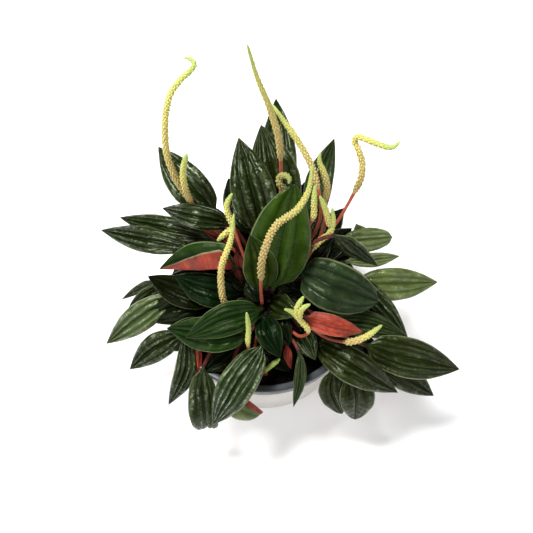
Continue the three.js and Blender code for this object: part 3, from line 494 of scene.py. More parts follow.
def fine_blade(tracks, style, seed):
    """The blade's upper and lower points, [row, column, xyz]; its five lines at each row; up at
    the midrib; how far along each row lies; the columns; how high on a ridge each point shows;
    and the blade's length."""
    columns, ridge = leaf_columns(style, np.random.default_rng(int(seed * 10)))
    knots = distances(tracks[:, 2])
    length = knots[-1]
    share = np.linspace(0, 1, BLADE_ROWS + 1)[:-1]
    share = np.minimum(share - ROW_CROWDING * np.sin(2 * math.pi * share), LAST_ROW)
    rows = np.einsum("rk,kcx->rcx", spline_weights(knots / length, share), tracks)

    wander = np.array([[noise.noise(Vector((t * 2.2, s * 1.3, seed))) for s in columns]
                       for t in share])
    along = share[:, None]
    mid_length = np.sin(math.pi * along)
    bent = columns + WANDER * wander * (1 - columns**2) * mid_length
    middle = np.einsum("rck,rkx->rcx", spline_weights(SIDES, bent), rows)
    normal = unit(np.cross(np.gradient(middle, axis=1), np.gradient(middle, axis=0)))

    half = norm(rows[:, [0, 4]] - rows[:, [2]], axis=2).max(axis=1, keepdims=True)
    depth = style.depth * np.minimum(DEEPEST, DEEPEST_SHARE * half / (style.pairs + 1))
    # the folds fade at the blade's foot and at its tip
    depth = depth * smooth_step(along / 0.16) * smooth_step((1 - along) / 0.06)

    # folds across the ridges, slanting from the midrib toward the tip
    slant = along * length - QUILT_SLANT * np.abs(columns) * half
    flow = np.stack([np.broadcast_to(columns * 2.6, bent.shape), slant / QUILT,
                     np.full(bent.shape, seed)], axis=-1)
    puff = np.sin(math.pi * ridge / 2)
    quilt = ripple(flow, 1.0, 0.37) * puff
    fine = ripple(flow, 2.1, 4.1) * puff
    arch = np.sin(math.pi * np.abs(columns)) - 0.45 * columns**2
    lift = depth * (ridge - 0.5 + QUILT_RISE[0] * quilt + QUILT_RISE[1] * fine)
    lift = lift + ARCH * half * arch * smooth_step(along / 0.2)
    wave_length, wave_rise = MARGIN_WAVE
    wave = np.sin(along * length / wave_length * 2 * math.pi + seed)
    side_wave = np.where(columns < 0, wave, np.roll(wave, BLADE_ROWS // 9, axis=0))
    lift = lift + wave_rise * side_wave * columns**2 * mid_length

    # thinner toward the margins and the tip, with the midrib below
    thick = LEAF_THICKNESS * np.sqrt(np.clip(1 - columns**6, 0, 1)) / 2
    thick = thick * (0.55 + 0.45 * smooth_step((1 - along) / 0.4))
    thick = np.minimum(thick, 0.25 * half)
    rib = (1 - along) ** 0.8 * np.exp(-(columns * half / RIB_RADIUS) ** 2)
    upper = middle + normal * (lift + thick)[..., None]
    lower = middle + normal * (0.8 * lift - thick - RIB_RADIUS * rib)[..., None]
    # how high on a ridge each point shows, which the upper colour follows: painted shade low,
    # painted light high
    shown = ridge + 0.30 * quilt + 0.06 * fine
    return upper, lower, rows, normal[:, len(columns) // 2], share, columns, shown, length


def stalk_line(stalk, after):
    """Points along the stalk, short of its end, and how far along it each is."""
    span = distances(stalk)
    length = span[-1]
    spots = np.linspace(0, 1, max(4, int(length / STALK_STEP)) + 1)[:-1]
    reach = np.append(span, length + norm(after - stalk[-1])) / length
    return spline_weights(reach, spots) @ np.vstack([stalk, after]), spots * length


def grow_leaf(name, tracks, stalk, side, style, seed):
    """A leaf as one skin: loops of points round the stalk, then round the blade."""
    upper, lower, rows, ups, share, columns, shown, length = fine_blade(tracks, style, seed)
    angle = columns * math.pi / 2

    def loop(centre, side_way, up_way, radius):
        out = side_way * np.sin(angle)[:, None]
        up = up_way * np.cos(angle)[:, None]
        return centre + radius * (out + up), centre + radius * (out - up)

    line, run = stalk_line(stalk, tracks[1, 2])
    heads = directions(np.vstack([line, rows[:3, 2]]))[:len(line)]
    sides = carried(side, heads[::-1])[::-1]
    loops = []
    flare, flare_reach = SEAT_FLARE
    for point, head, way, far in zip(line, heads, sides, run):
        radius = STALK_RADIUS * (1 + flare * math.exp(-far / flare_reach))
        loops.append(loop(point, way, np.cross(way, head), radius))
    for i, here in enumerate(share):
        top, bottom = upper[i], lower[i]
        if here < FOOT_SHARE:
            head = unit(rows[i + 1, 2] - rows[i, 2])
            way = across_to(rows[i, 4] - rows[i, 0] if i else side, head)
            round_top, round_bottom = loop(rows[i, 2], way, across_to(ups[max(i, 2)], head),
                                           STALK_RADIUS)
            blend = smooth_step(here / FOOT_SHARE)
            top = (1 - blend) * round_top + blend * top
            bottom = (1 - blend) * round_bottom + blend * bottom
        loops.append((top, bottom))
    round_up = lambda top, bottom: np.concatenate([top, bottom[-2:0:-1]])
    loops = np.array([round_up(top, bottom) for top, bottom in loops])
    around = loops.shape[1]
    points = np.vstack([stalk[0], loops.reshape(-1, 3), tracks[-1, 2]])

    bare = np.zeros((len(line), len(columns)))
    ridge = np.concatenate([bare, shown])
    ridge = np.hstack([ridge, ridge[:, -2:0:-1]])
    across = np.broadcast_to(round_up(columns, columns), ridge.shape)
    per_row = lambda row: np.broadcast_to(np.array(row)[:, None], ridge.shape)
    ends = lambda values: np.concatenate([[values[0, 0]], values.ravel(), [values[-1, 0]]])
    values = {
        "ridge": ends(ridge),
        "across": ends(across),
        "run": ends(per_row([*run / MM, *share * length / MM])),
        "blade": ends(per_row([*bare[:, 0], *smooth_step(share / 0.10)])),
        "seed": np.full(len(points), seed),
    }
    top_faces = len(columns) - 1
    slots = [1] * around
    for row in range(len(loops)):
        on_top = 0 if row > len(line) else 1
        slots += [on_top if k < top_faces else 1 for k in range(around)]
    # leaves of the shade and painted_shade_green looks get a darker underside: painted shade
    under = {"shade": "under_shade", "painted_shade_green": "under_painted_shade_half"}.get(style.look, "under")
    piece = add_piece(name + "_grown", points, tube_faces(len(loops), around),
                      [MATERIALS["leaf_" + style.look], MATERIALS[under]], slots, values)
    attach(piece, "root")
    return piece


def make_leaves():
    for number, node in enumerate(sorted(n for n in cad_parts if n.startswith("leaf_"))):
        style = LEAF_STYLES.get(node, Style())
        piece = grow_leaf(node, *plain_tracks(node, style.turned), style, 1.7 * number)
        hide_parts(node)
    for number, (path, wide, style) in enumerate(SMALL_LEAVES):
        tracks = free_tracks(path, wide, style.turned)
        grow_leaf("leaf_small_" + str(number + 1), *tracks, style, 100 + 2.3 * number)


# ---- Flower stems ----

SPIKE_RADIUS = 1.45 * MM
BEAD_RISE = 1.1 * MM
BEAD_REACH = (0.44, 0.52)  # of a bead, in beads round the spike and in rows along it
BARE_RADIUS = 0.95 * MM  # of the bare stalk
BARE_FLARES = ((0.5, 2 * MM), (0.25, 3 * MM))  # at its foot and under the spike: share and reach
FIRST_SIDE = np.array([1, 0.2, 0.1])  # where a ring's first corner points, before it is squared
OUT_OF_CROWN = 7 * MM  # how far a stem runs straight out of the crown
SUNK = 0.5 * MM  # how far a stem's foot reaches below its plain solid
BEADS_AROUND = 6
BEAD_STEP = (1.95 * MM, 1.30 * MM)  # from row to row, at the spike's foot and at its tip
SPIKE_AROUND = 48
SPIKE_STEP = 0.22 * MM
BARE_STEP = 2 * MM
FINE = 240  # steps that a line is measured by


class Line:
    """The smooth line through a row of points."""

    def __init__(self, points):
        self.points = [np.array(p, float) for p in points]

    def at(self, share):
        points = self.points
        spot = share * (len(points) - 1)
        i = min(int(spot), len(points) - 2)
        w = spot - i
        b, c = points[i], points[i + 1]
        a = points[i - 1] if i else 2 * b - c
        d = points[i + 2] if i + 2 < len(points) else 2 * c - b
        ab, bc, cd = (math.sqrt(norm(q - p)) for p, q in ((a, b), (b, c), (c, d)))
        out = ((b - a) / ab - (c - a) / (ab + bc) + (c - b) / bc) * bc
        into = ((c - b) / bc - (d - b) / (bc + cd) + (d - c) / cd) * bc
        return (b + out * w + (3 * (c - b) - 2 * out - into) * w**2
                + (2 * (b - c) + out + into) * w**3)

    def measured(self, start, end):
        """Many points between two shares of the line, and how far along each is."""
        fine = np.array([self.at(start + (end - start) * i / FINE) for i in range(FINE + 1)])
        return fine, distances(fine)

    def even_share(self, share):
        """The share to ask at() for, to come out at a share of the length."""
        _, lengths = self.measured(0, 1)
        return float(np.interp(share * lengths[-1], lengths, np.linspace(0, 1, FINE + 1)))

    def evenly(self, start, end, step):
        """Points a step apart between two shares of the line, and the length between them."""
        fine, lengths = self.measured(start, end)
        count = max(2, round(lengths[-1] / step))
        want = np.linspace(0, lengths[-1], count + 1)
        points = [np.interp(want, lengths, fine[:, k]) for k in range(3)]
        return np.stack(points, axis=1), lengths[-1]


def stem_rings(points, heads, size):
    """Rings round points, across the directions there; size is each corner's distance."""
    sides = carried(FIRST_SIDE, heads)
    ups = np.cross(sides, heads)
    theta = turn(SPIKE_AROUND)
    return points[:, None] + size * (sides[:, None] * np.cos(theta)[None, :, None]
                                     + ups[:, None] * np.sin(theta)[None, :, None])


def spike_profile(share, taper):
    """How thick a spike is, of its full thickness: less at its foot and toward its rounded tip."""
    foot = 0.80 + 0.20 * smooth_step(share / 0.10)
    tip = 1 - 0.55 * np.clip((share - 1 + taper) / taper, 0, 1) ** 1.4
    return foot * tip * (1 - 0.75 * np.clip((share - 0.96) / 0.04, 0, 1) ** 2)


def bead_heights(around, along):
    """How high a staggered row of round beads stands, from 0 between them to 1, at places that are
    counted in beads round the spike and in rows along it."""
    best = np.zeros((len(along), len(around)))
    for step in (-1, 0, 1):
        row = np.floor(along) + step
        off = along - row - 0.5
        aside = around[None, :] - 0.5 * (row % 2)[:, None]
        aside = aside - np.round(aside)
        far = (aside / BEAD_REACH[0]) ** 2 + (off[:, None] / BEAD_REACH[1]) ** 2
        best = np.maximum(best, 1 - far)
    return np.clip(best, 0, 1)


def spike_tube(points, length, seed, stem, ripeness):
    """Rings of a beaded spike along points, how high each of their corners stands on a bead, and
    how ripe it is. The greener a stretch is, the less its beads stand out."""
    count = len(points)
    share = np.linspace(0, 1, count)
    theta = turn(SPIKE_AROUND)
    place_along = np.cumsum(length / count / np.interp(share, (0, 1), BEAD_STEP))
    bead = bead_heights(theta / (2 * math.pi) * BEADS_AROUND, place_along)
    rough = np.array([[noise.noise(Vector((math.cos(t) * 2.5, math.sin(t) * 2.5, l * 0.9 + seed)))
                       for t in theta] for l in place_along])
    tipped = smooth_step((1 - share) / 0.12)[:, None]
    radius = SPIKE_RADIUS * stem.girth * spike_profile(share, stem.taper)
    bump = BEAD_RISE * (bead - 0.25 + 0.30 * rough) * (0.35 + 0.65 * tipped)
    bump = bump * (1 - 0.75 * np.clip(ripeness(share), 0, 1) ** 2)[:, None]
    size = radius[:, None] + bump * np.minimum(1, radius / (1.2 * MM))[:, None]
    rings = stem_rings(points, directions(points), size[..., None])
    return rings, bead, np.broadcast_to(ripeness(share)[:, None], bead.shape)


def grow_flower(node, stem, bare, spikes, seed):
    green = stem.green
    ripeness = lambda share: green + (1 - green) * share
    points, _ = solid_of(node)
    main, *forks = [[place(p) for p in spike] for spike in spikes]
    bare = [place(p) for p in bare]
    if stem.on_soil:
        start = main[0] * [1, 1, 0] + np.array([0, 0, points[:, 2].min() - SUNK])
        lead = []
    else:
        start = points[np.argmin(norm(points - CROWN_CENTRE, axis=1))]
        lead = [CROWN_CENTRE + unit(start - CROWN_CENTRE) * (CROWN_RADIUS + OUT_OF_CROWN)]
    guides = [start, *lead, *bare, *main]
    line = Line(guides)
    foot = (1 + len(lead) + len(bare)) / (len(guides) - 1)
    stalk, stalk_length = line.evenly(0, foot, BARE_STEP)
    spike, spike_length = line.evenly(foot, 1, SPIKE_STEP)

    along = np.linspace(0, 1, len(stalk)) * stalk_length
    (foot_flare, foot_reach), (top_flare, top_reach) = BARE_FLARES
    radius = BARE_RADIUS * (1 + foot_flare * np.exp(-along / foot_reach)
                            + top_flare * np.exp(-(stalk_length - along) / top_reach))
    heads = directions(np.vstack([stalk, spike[1:4]]))[:len(stalk)]
    stalk_rings = stem_rings(stalk, heads, radius[:, None, None])[:-1]

    # the spike's rings turn on from the stalk's
    rings, bead, ripe = spike_tube(spike[:-1], spike_length, seed, stem, ripeness)
    shift = int(np.argmin(norm(rings[0] - stalk_rings[-1][0], axis=1)))
    rings, bead = np.roll(rings, -shift, axis=1), np.roll(bead, -shift, axis=1)
    all_rings = np.concatenate([stalk_rings, rings])
    vertices = [start, *all_rings.reshape(-1, 3), spike[-1]]
    faces = tube_faces(len(all_rings), SPIKE_AROUND)
    zeros = np.zeros((len(stalk_rings), SPIKE_AROUND))
    beads = [0, *np.concatenate([zeros, bead]).ravel(), 0.5]
    ripes = [-1, *np.concatenate([zeros - 1, ripe]).ravel(), 1]
    for n, fork in enumerate(forks):
        fork_points, fork_length = Line(fork).evenly(0, 1, SPIKE_STEP)
        rings, bead, ripe = spike_tube(fork_points[:-1], fork_length, seed + 7 * (n + 1), stem,
                                       ripeness)
        faces += tube_faces(len(rings), SPIKE_AROUND, len(vertices))
        vertices += [fork_points[0], *rings.reshape(-1, 3), fork_points[-1]]
        beads += [0.5, *bead.ravel(), 0.5]
        ripes += [green, *ripe.ravel(), 1]
    values = {"bead": beads, "ripe": ripes, "tone": np.full(len(vertices), stem.tone)}
    piece = add_piece(node + "_grown", vertices, faces, [MATERIALS["spike"]], values=values)
    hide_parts(node)
    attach(piece, "root")


# ---- Pots, soil and crown ----

POT_AROUND = 160
CORNER_STEPS = 5  # of a rounded corner
WALL = 1.6 * MM  # of both pots
COVER_FOOT = 52.9 * MM  # radius of the cover pot's foot
COVER_FLOOR = 2.2 * MM  # top of its floor
FOOT_RING = (6 * MM, 0.6 * MM)  # width and height of the ring that it stands on
POT_GAP = 0.3 * MM  # between the pots
LIP = 8.5 * MM  # height of the nursery pot's lip
LIP_WIDTH = 4.2 * MM  # of its flat top
SOIL_RINGS = 46
SOIL_AROUND = 150
SOIL_INSET = 0.1 * MM  # from the plain solid's edge
SOIL_FLOOR = 30 * MM  # of what is drawn, over the plain solid's
SOIL_UNDER = ((4 * MM, 20 * MM), (1 * MM, 8 * MM))  # rings below the surface: inset and depth
CRUMBS = 900
CRUMB_SIZES = (0.8, 1.3, 2.2)
CRUMB_SHARES = (0.5, 0.38, 0.12)  # how many have each size


def rounded_outline(outline, radii):
    """An outline of [radius, height] points with the corners rounded."""
    smooth = []
    for i, corner in enumerate(outline):
        corner = np.array(corner, float)
        size = radii[i]
        if not size:
            smooth.append(corner)
            continue
        before = unit(np.array(outline[i - 1], float) - corner)
        after = unit(np.array(outline[i + 1], float) - corner)
        for n in range(CORNER_STEPS + 1):
            w = n / CORNER_STEPS
            a, b = corner + before * size, corner + after * size
            smooth.append((1 - w)**2 * a + 2 * w * (1 - w) * corner + w**2 * b)
    return smooth


def turned_piece(name, outline, material):
    """A closed solid turned from an outline that starts and ends on the axis."""
    start, *middle, end = outline
    points = [(0, 0, start[1])]
    points += [(r * math.cos(t), r * math.sin(t), z) for r, z in middle for t in turn(POT_AROUND)]
    points.append((0, 0, end[1]))
    return add_piece(name, points, tube_faces(len(middle), POT_AROUND), [material])


def finish_piece(piece, node):
    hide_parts(node)
    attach(piece, "root")


def make_pots():
    low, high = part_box("cover_pot")
    top, base, outer = high.z, low.z, high.x
    foot = COVER_FOOT
    ring_width, ring_height = FOOT_RING
    outline = [[0, base + ring_height], [foot - ring_width - 1 * MM, base + ring_height],
               [foot - ring_width, base], [foot, base], [outer, top], [outer - WALL, top],
               [foot - WALL, base + COVER_FLOOR], [0, base + COVER_FLOOR]]
    radii = [0, 0.3 * MM, 0.3 * MM, 1.4 * MM, 0.6 * MM, 0.6 * MM, 2 * MM, 0]
    piece = turned_piece("cover_pot_shell", rounded_outline(outline, radii), MATERIALS["cover"])
    finish_piece(piece, "cover_pot")

    low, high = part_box("grow_pot")
    rim, top, base = high.x, high.z, low.z
    lip_foot = top - LIP
    inner_top = outer - WALL - POT_GAP
    inner_foot = foot - WALL - POT_GAP
    outline = [[0, base], [inner_foot, base], [inner_top, lip_foot - 0.2 * MM],
               [rim - 0.4 * MM, lip_foot], [rim, top], [rim - LIP_WIDTH, top],
               [inner_top - WALL, lip_foot - 2 * MM], [inner_foot - WALL, base + WALL],
               [0, base + WALL]]
    radii = [0, 1.5 * MM, 0.2 * MM, 0.5 * MM, 1.3 * MM, 1.2 * MM, 1.5 * MM, 1.5 * MM, 0]
    piece = turned_piece("grow_pot_shell", rounded_outline(outline, radii), MATERIALS["lip"])
    finish_piece(piece, "grow_pot")


def make_soil():
    low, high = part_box("soil")
    edge = high.x - SOIL_INSET
    points = [(0, 0, low.z + SOIL_FLOOR)]
    for inset, depth in SOIL_UNDER:
        r = edge - inset
        points += [(r * math.cos(t), r * math.sin(t), high.z - depth) for t in turn(SOIL_AROUND)]
    for i in range(SOIL_RINGS):
        r = edge * (1 - i / SOIL_RINGS)
        rise = 1.5 * math.exp(-((r / edge) ** 2) * 3) - 1.3
        for t in turn(SOIL_AROUND):
            p = Vector((r * math.cos(t), r * math.sin(t), 0))
            lumps = 1.1 * noise.noise(p * 90) + 0.9 * noise.noise(p * 260 + Vector((3, 1, 0)))
            lumps += 0.5 * noise.noise(p * 700)
            points.append((p.x, p.y, high.z + (lumps * 0.9 + rise) * MM))
    points.append((0, 0, high.z))
    faces = tube_faces(SOIL_RINGS + 2, SOIL_AROUND)

    # crumbs lying on the surface
    rng = np.random.default_rng(11)
    corners, sides = icosphere(2)
    for _ in range(CRUMBS):
        r = edge * math.sqrt(rng.uniform(0.02, 0.97))
        t = rng.uniform(0, 2 * math.pi)
        size = rng.uniform(0.5, 1.0) * rng.choice(CRUMB_SIZES, p=CRUMB_SHARES) * MM
        r = min(r, edge - size * 1.3)
        centre = np.array([r * math.cos(t), r * math.sin(t), high.z - 0.4 * MM + 0.3 * size])
        stretch = rng.uniform(0.6, 1.3, 3)
        first = len(points)
        seed = rng.uniform(0, 50)
        for corner in corners:
            bump = 1 + 0.45 * noise.noise(Vector(corner) * 1.7 + Vector((seed, 0, 0)))
            points.append(tuple(centre + corner * stretch * size * bump))
        faces += [tuple(first + i for i in side) for side in sides]
    piece = add_piece("soil_surface", points, faces, [MATERIALS["soil"]])
    finish_piece(piece, "soil")


def icosphere(subdivisions):
    shape = bmesh.new()
    bmesh.ops.create_icosphere(shape, subdivisions=subdivisions, radius=1)
    points = np.array([v.co[:] for v in shape.verts])
    faces = [[v.index for v in face.verts] for face in shape.faces]
    shape.free()
    return points, faces


def make_crown():
    points, faces = icosphere(5)
    low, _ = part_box("crown")
    shaped = []
    for p in points:
        lumps = 0.05 * noise.noise(Vector(p) * 3) + 0.035 * noise.noise(Vector(p) * 9)
        q = CROWN_CENTRE + p * CROWN_RADIUS * (1.0 + lumps)
        shaped.append((q[0], q[1], max(q[2], low.z)))
    piece = add_piece("crown_stem", shaped, faces, [MATERIALS["crown"]])
    finish_piece(piece, "crown")


# ---- Materials ----


class Nodes:
    """A material's nodes, wired by short calls."""

    def __init__(self, name):
        self.material = bpy.data.materials.new(name)
        self.material.use_nodes = True
        self.tree = self.material.node_tree
        self.shader = self.tree.nodes["Principled BSDF"]

    def add(self, kind, inputs=(), **settings):
        node = self.tree.nodes.new("ShaderNode" + kind)
        for key, value in settings.items():
            setattr(node, key, value)
        for key, value in dict(inputs).items():
            self.set(node.inputs[key], value)
        return node

    def set(self, socket, value):
        if isinstance(value, bpy.types.NodeSocket):
            self.tree.links.new(value, socket)
        else:
            socket.default_value = value

    def finish(self, colour, rough, gloss=0.5, bump=None, **more):
        """The material; bump is a height, its strength and its distance."""
        inputs = {"Base Color": colour, "Roughness": rough, "Specular IOR Level": gloss, **more}
        if bump:
            node = self.add("Bump", zip(("Height", "Strength", "Distance"), bump))
            inputs["Normal"] = node.outputs["Normal"]
        for key, value in inputs.items():
            self.set(self.shader.inputs[key.replace("_", " ")], value)
        return self.material

    def value(self, name):
        return self.add("Attribute", attribute_name=name).outputs["Fac"]

    def math(self, operation, a, b=0.0):
        return self.add("Math", {0: a, 1: b}, operation=operation).outputs[0]

    def ramp(self, fac, *stops):
        """Colours or numbers at places from 0 to 1."""
        node = self.add("ValToRGB", {"Fac": fac})
        elements = node.color_ramp.elements
        while len(elements) < len(stops):
            elements.new(0.5)
        for element, (spot, colour) in zip(elements, stops):
            element.position = spot
            if isinstance(colour, (int, float)):
                colour = (colour, colour, colour)
            element.color = (*colour, 1)
        return node.outputs["Color"]

    def mix(self, fac, a, b, blend="MIX"):
        """A mix of two colours; the node has sockets of other kinds in between."""
        node = self.add("Mix", data_type="RGBA", blend_type=blend)
        self.set(node.inputs[0], fac)
        for socket, colour in ((node.inputs[6], a), (node.inputs[7], b)):
            self.set(socket, (*colour, 1) if isinstance(colour, tuple) else colour)
        return node.outputs[2]

    def noise(self, scale, detail=3.0, roughness=0.55, vector=None):
        if vector is None:
            vector = self.add("TexCoord").outputs["Object"]
        inputs = {"Scale": scale, "Detail": detail, "Roughness": roughness, "Vector": vector}
        return self.add("TexNoise", inputs).outputs["Fac"]

    def blade_noise(self, across, run, detail):
        """Noise over a blade, drawn out along it: across in each half width, run in each mm."""
        vector = self.add("CombineXYZ", {
            "X": self.math("MULTIPLY", self.value("across"), across),
            "Y": self.math("MULTIPLY", self.value("run"), run),
            "Z": self.value("seed")}).outputs[0]
        return self.noise(1.0, *detail, vector)

    def with_margin(self, colour, start, end):
        """The colour, turning to the pale margin's from start to end, in half widths."""
        margin = self.ramp(self.math("ABSOLUTE", self.value("across")), (start, 0.0), (end, 0.8))
        return self.mix(margin, colour, MARGIN)


# The colours in the groove beside a ridge, on its slope and on its crest, in thousandths,
# darker in the groove (painted shade) and lighter on the crest (painted light); the silver
# colour of the painted highlight along the crest, in thousandths, and how much of it; gloss;
# and where they differ from the usual, where the pale margin starts, in half widths, and how
# unbroken the painted highlight runs. The shade, painted_shade_dark and painted_shade_green
# looks are darker copies of the leaf colours: painted shade.
LOOKS = {
    "dark": ((2.1, 4.8, 0.6), (5.1, 9.7, 1.2), (11, 18.5, 2.9), (420, 470, 330), 0.34, 0.26),
    "shade": ((0.8, 1.6, 0.4), (2, 4, 1), (4, 7, 2), (30, 50, 20), 0.04, 0.08),
    "painted_shade_dark": ((0.8, 1.4, 0.3), (1.8, 3, 0.5), (3.4, 5.4, 0.9), (60, 80, 30), 0.02, 0.04),
    "painted_shade_green": ((0.6, 2.4, 0.5), (1.3, 5.2, 1.1), (2.8, 9.8, 2.3), (60, 90, 50), 0.04, 0.05),
    "young": ((5.9, 13.9, 0.8), (9.7, 22.7, 1.3), (15.1, 33.6, 2.2), (100, 160, 50), 0.03, 0.11),
    "deep": ((4, 6, 0.7), (7, 11.5, 1.1), (13, 24, 2.1), (100, 140, 50), 0.02, 0.08),
    "fresh": ((1.6, 5.9, 0.8), (3.6, 11.7, 1.5), (9.8, 24.2, 3.7), (140, 200, 100), 0.09, 0.09),
    "olive": ((2.5, 4.6, 0.5), (5.3, 9, 1), (10.9, 16.1, 2.2), (300, 340, 200), 0.16, 0.15),
    "grey": ((4, 8.2, 1.9), (8.8, 15.5, 3.8), (17.5, 27.5, 7.8), (180, 220, 130), 0.14, 0.18),
    "rimmed": ((3.6, 8.2, 2.8), (8.2, 15.8, 6.2),
               (15, 25.5, 9.8), (160, 200, 120), 0.1, 0.08, 0.915),
    "striped": ((2, 6.8, 0.9), (4.8, 13, 1.8),
                (19, 33, 8.5), (500, 560, 390), 0.38, 0.2, 0.945, 0.06),
    "silver": ((12, 23.2, 4.4), (28, 44, 11.2),
               (56, 77.6, 27.2), (460, 500, 370), 0.42, 0.42, 0.93),
    "pale": ((23.2, 37, 7.3), (45.6, 65.4, 14.6), (74, 98, 28.4), (340, 380, 240), 0.3, 0.28, 0.93),
    "bright": ((36.1, 55, 14.6), (61.9, 86, 24.9),
               (96.3, 123.8, 43), (340, 380, 240), 0.3, 0.3, 0.92),
}
MARGIN = (0.14, 0.17, 0.07)
LEAF_SHINE = (0.88, 1.0, 0.68, 1.0)  # tint of what a leaf reflects


def leaf_upper(name, groove, slope, crest, painted_highlight, painted_highlight_share, gloss, edge=0.945, whole=0.0):
    """An upper surface; LOOKS says what it takes."""
    n = Nodes("leaf_" + name)
    groove, slope, crest, painted_highlight = (tuple(part / 1000 for part in colour)
                                   for colour in (groove, slope, crest, painted_highlight))
    ridge = n.value("ridge")
    streaks = n.blade_noise(4.5, 0.13, (4.0, 0.6))
    folds = n.blade_noise(3.2, 0.62, (4.0, 0.6))
    # darker in the grooves and lighter on the crests: painted shade and painted light of the folds
    colour = n.ramp(ridge, (0.0, groove), (0.22, slope), (0.95, crest))
    colour = n.mix(1.0, colour, n.ramp(n.noise(60, 2), (0.25, 0.72), (0.75, 1.24)), "MULTIPLY")
    colour = n.mix(1.0, colour, n.ramp(streaks, (0.30, 0.72), (0.70, 1.26)), "MULTIPLY")
    # a pale silver painted highlight along the ridge crests, broken into flecks by the streaks and
    # the folds: it stands in for glints of light
    silver = n.math("MULTIPLY", n.ramp(ridge, (0.60 + whole, 0.0), (0.95, 1.0)),
                    n.ramp(streaks, (0.48 - whole, 0.0), (0.66 - whole, 1.0)))
    silver = n.math("MULTIPLY", silver, n.ramp(folds, (0.46 - whole, 0.06), (0.60 - whole, 1.0)))
    colour = n.mix(n.math("MULTIPLY", silver, painted_highlight_share), colour, painted_highlight)
    colour = n.with_margin(colour, edge, (1 + edge) / 2)
    rough = n.ramp(folds, (0.35, 0.13), (0.65, 0.27))
    height = n.math("ADD", n.math("MULTIPLY", n.noise(850.0, 3.0, 0.5), 0.40), folds)
    return n.finish(colour, rough, gloss, (height, 0.40, 0.0008), Specular_Tint=LEAF_SHINE)


def leaf_under(name, level):
    """The red underside, and the stalk; level dims those in the shade: painted shade."""
    n = Nodes(name)
    patches = n.noise(110)
    red = n.ramp(patches, (0.25, (0.155, 0.014, 0.006)), (0.75, (0.36, 0.044, 0.017)))
    under = n.mix(n.ramp(n.value("ridge"), (0.0, 0.12), (0.35, 0.0)), red, (0.42, 0.12, 0.07))
    under = n.with_margin(under, 0.93, 0.98)
    # the stalk darkens toward the crown: painted shade under the leaves
    stalk = n.ramp(patches, (0.2, (0.060, 0.009, 0.005)), (0.8, (0.160, 0.024, 0.012)))
    stalk = n.mix(1.0, stalk, n.ramp(n.math("MULTIPLY", n.value("run"), 0.028),
                                     (0.15, 0.10), (0.9, 1.0)), "MULTIPLY")
    colour = n.mix(n.value("blade"), stalk, under)
    # darker in the creases: painted shade; level darkens it all further in the shaded copies
    creases = n.blade_noise(3.0, 0.22, (5.0, 0.65))
    colour = n.mix(1.0, colour, n.ramp(creases, (0.30, 0.45 * level), (0.65, 1.15 * level)),
                   "MULTIPLY")
    return n.finish(colour, 0.45, 0.3 * level, (creases, 0.7, 0.0012))


def spike_material():
    """Tan at the foot of a spike to green at its tip; ripe is under 0 on the red stalk."""
    n = Nodes("flower_spike")
    bead = n.value("bead")
    ripe = n.value("ripe")
    # lighter between the beads than on them: painted light that offsets the shade between them
    gap = n.ramp(ripe, (0.0, (0.43, 0.315, 0.110)), (0.35, (0.49, 0.395, 0.126)),
                 (0.70, (0.49, 0.46, 0.115)), (1.0, (0.28, 0.38, 0.088)))
    top = n.ramp(ripe, (0.0, (0.380, 0.285, 0.102)), (0.35, (0.440, 0.360, 0.118)),
                 (0.70, (0.45, 0.43, 0.112)), (1.0, (0.265, 0.36, 0.083)))
    colour = n.mix(n.ramp(bead, (0.10, 0.0), (0.55, 1.0)), gap, top)
    freckle = n.ramp(n.noise(1300, 2), (0.55, 0.0), (0.72, 0.30))
    colour = n.mix(freckle, colour, (0.30, 0.20, 0.07))
    stalk = n.ramp(n.noise(160), (0.25, (0.22, 0.035, 0.020)), (0.8, (0.36, 0.075, 0.035)))
    on_spike = n.ramp(n.math("ADD", n.math("MULTIPLY", ripe, 0.5), 0.5), (0.05, 0.0), (0.20, 1.0))
    colour = n.mix(on_spike, stalk, colour)
    tone = n.add("Attribute", attribute_name="tone").outputs["Color"]
    colour = n.mix(1.0, colour, tone, "MULTIPLY")
    return n.finish(colour, 0.55, 0.4, (n.noise(2400, 2), 0.3, 0.0003),
                    Subsurface_Weight=0.08, Subsurface_Radius=(0.0012, 0.0010, 0.0004),
                    Subsurface_Scale=0.5)


def plastic(name, low, high, rough, scale, gloss):
    """Slightly mottled from low to high, and scuffed."""
    n = Nodes(name)
    colour = n.ramp(n.noise(scale), (0.3, low), (0.7, high))
    scuffs = n.ramp(n.noise(scale * 9, 5), (0.35, rough - 0.06), (0.7, rough + 0.08))
    return n.finish(colour, scuffs, gloss, (n.noise(1800, 2), 0.08, 0.0002))


def soil_material():
    n = Nodes("potting_soil")
    # nearly black: the soil's own dark brown, darkened further by painted shade of the leaves over
    # it
    colour = n.ramp(n.noise(800, 5), (0.3, (0.0010, 0.0008, 0.0006)),
                    (0.75, (0.0060, 0.0042, 0.0030)))
    speck = n.ramp(n.noise(1700, 2), (0.70, 0.0), (0.76, 0.4))
    colour = n.mix(speck, colour, (0.05, 0.036, 0.024))
    return n.finish(colour, 0.95, 0.05, (n.noise(1500, 4), 0.7, 0.0008))


def crown_material():
    n = Nodes("crown_skin")
    colour = n.ramp(n.noise(300, 4), (0.3, (0.010, 0.004, 0.002)), (0.7, (0.032, 0.010, 0.005)))
    return n.finish(colour, 0.7, 0.1, (n.noise(900), 0.6, 0.0008))


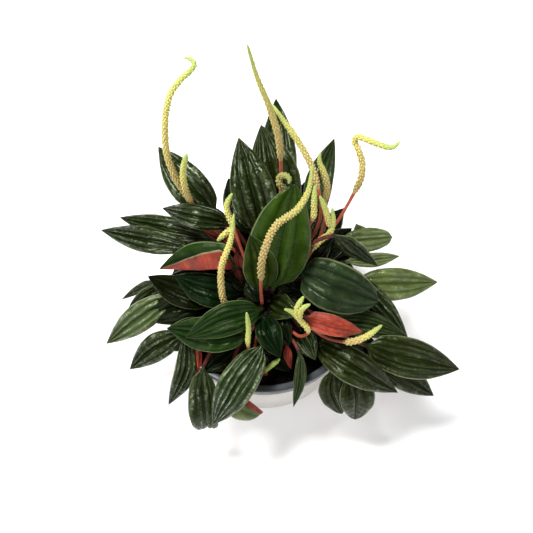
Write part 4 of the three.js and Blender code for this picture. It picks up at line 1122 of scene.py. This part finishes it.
MATERIALS = {
    **{"leaf_" + name: leaf_upper(name, *look) for name, look in LOOKS.items()},
    "under": leaf_under("leaf_underside", 1.0),
    # darker copies of the underside for leaves in the shade: painted shade
    "under_painted_shade_half": leaf_under("leaf_underside_painted_shade_half", 0.5),
    "under_shade": leaf_under("leaf_underside_shade", 0.3),
    "spike": spike_material(),
    "cover": plastic("cover_pot_plastic", (0.43, 0.41, 0.375), (0.495, 0.475, 0.44), 0.35, 40, 0.5),
    "lip": plastic("grow_pot_plastic", (0.027, 0.031, 0.033), (0.046, 0.051, 0.053), 0.22, 60,
                   0.22),
    "soil": soil_material(),
    "crown": crown_material(),
}

# ---- Floor and light ----

FLOOR_REACH = 3.0  # m, from the pot to each edge
LIT = (0, 0, 0.08)  # where the lights aim
AMBIENT = 0.15
LIGHTS = {  # place and width in m, power in W
    "key": ((-0.34, 0.25, 1.08), 0.34, 21.0),
    "right_fill": ((1.70, -1.10, 1.35), 2.0, 34.0),
    "left_fill": ((-1.55, -1.40, 1.30), 2.0, 32.0),
}


def make_floor():
    side = FLOOR_REACH
    points = [(-side, -side, 0), (side, -side, 0), (side, side, 0), (-side, side, 0)]
    material = Nodes("floor_pale").finish((0.95, 0.95, 0.95, 1), 0.8)
    floor = add_piece("floor", points, [(0, 1, 2, 3)], [material])


def make_light(name, place_at, size, power):
    data = bpy.data.lights.new(name, "AREA")
    data.shape = "DISK"
    data.size = size
    data.energy = power
    light = put_in_scene(name, data)
    light.location = place_at
    aim = Vector(LIT) - Vector(place_at)
    light.rotation_euler = aim.to_track_quat("-Z", "Y").to_euler()


def make_lights():
    world = bpy.data.worlds.new("studio")
    world.use_nodes = True
    back = world.node_tree.nodes["Background"]
    back.inputs["Color"].default_value = (1, 1, 1, 1)
    back.inputs["Strength"].default_value = AMBIENT
    bpy.context.scene.world = world
    for name, light in LIGHTS.items():
        make_light(name, *light)
    bpy.context.scene.view_settings.view_transform = "Standard"


# ---- The whole ----

make_camera()
make_pots()
make_soil()
make_crown()
make_leaves()
for number, (node, flower) in enumerate(FLOWERS.items()):
    grow_flower(node, *flower, 3.1 * number)
make_floor()
make_lights()
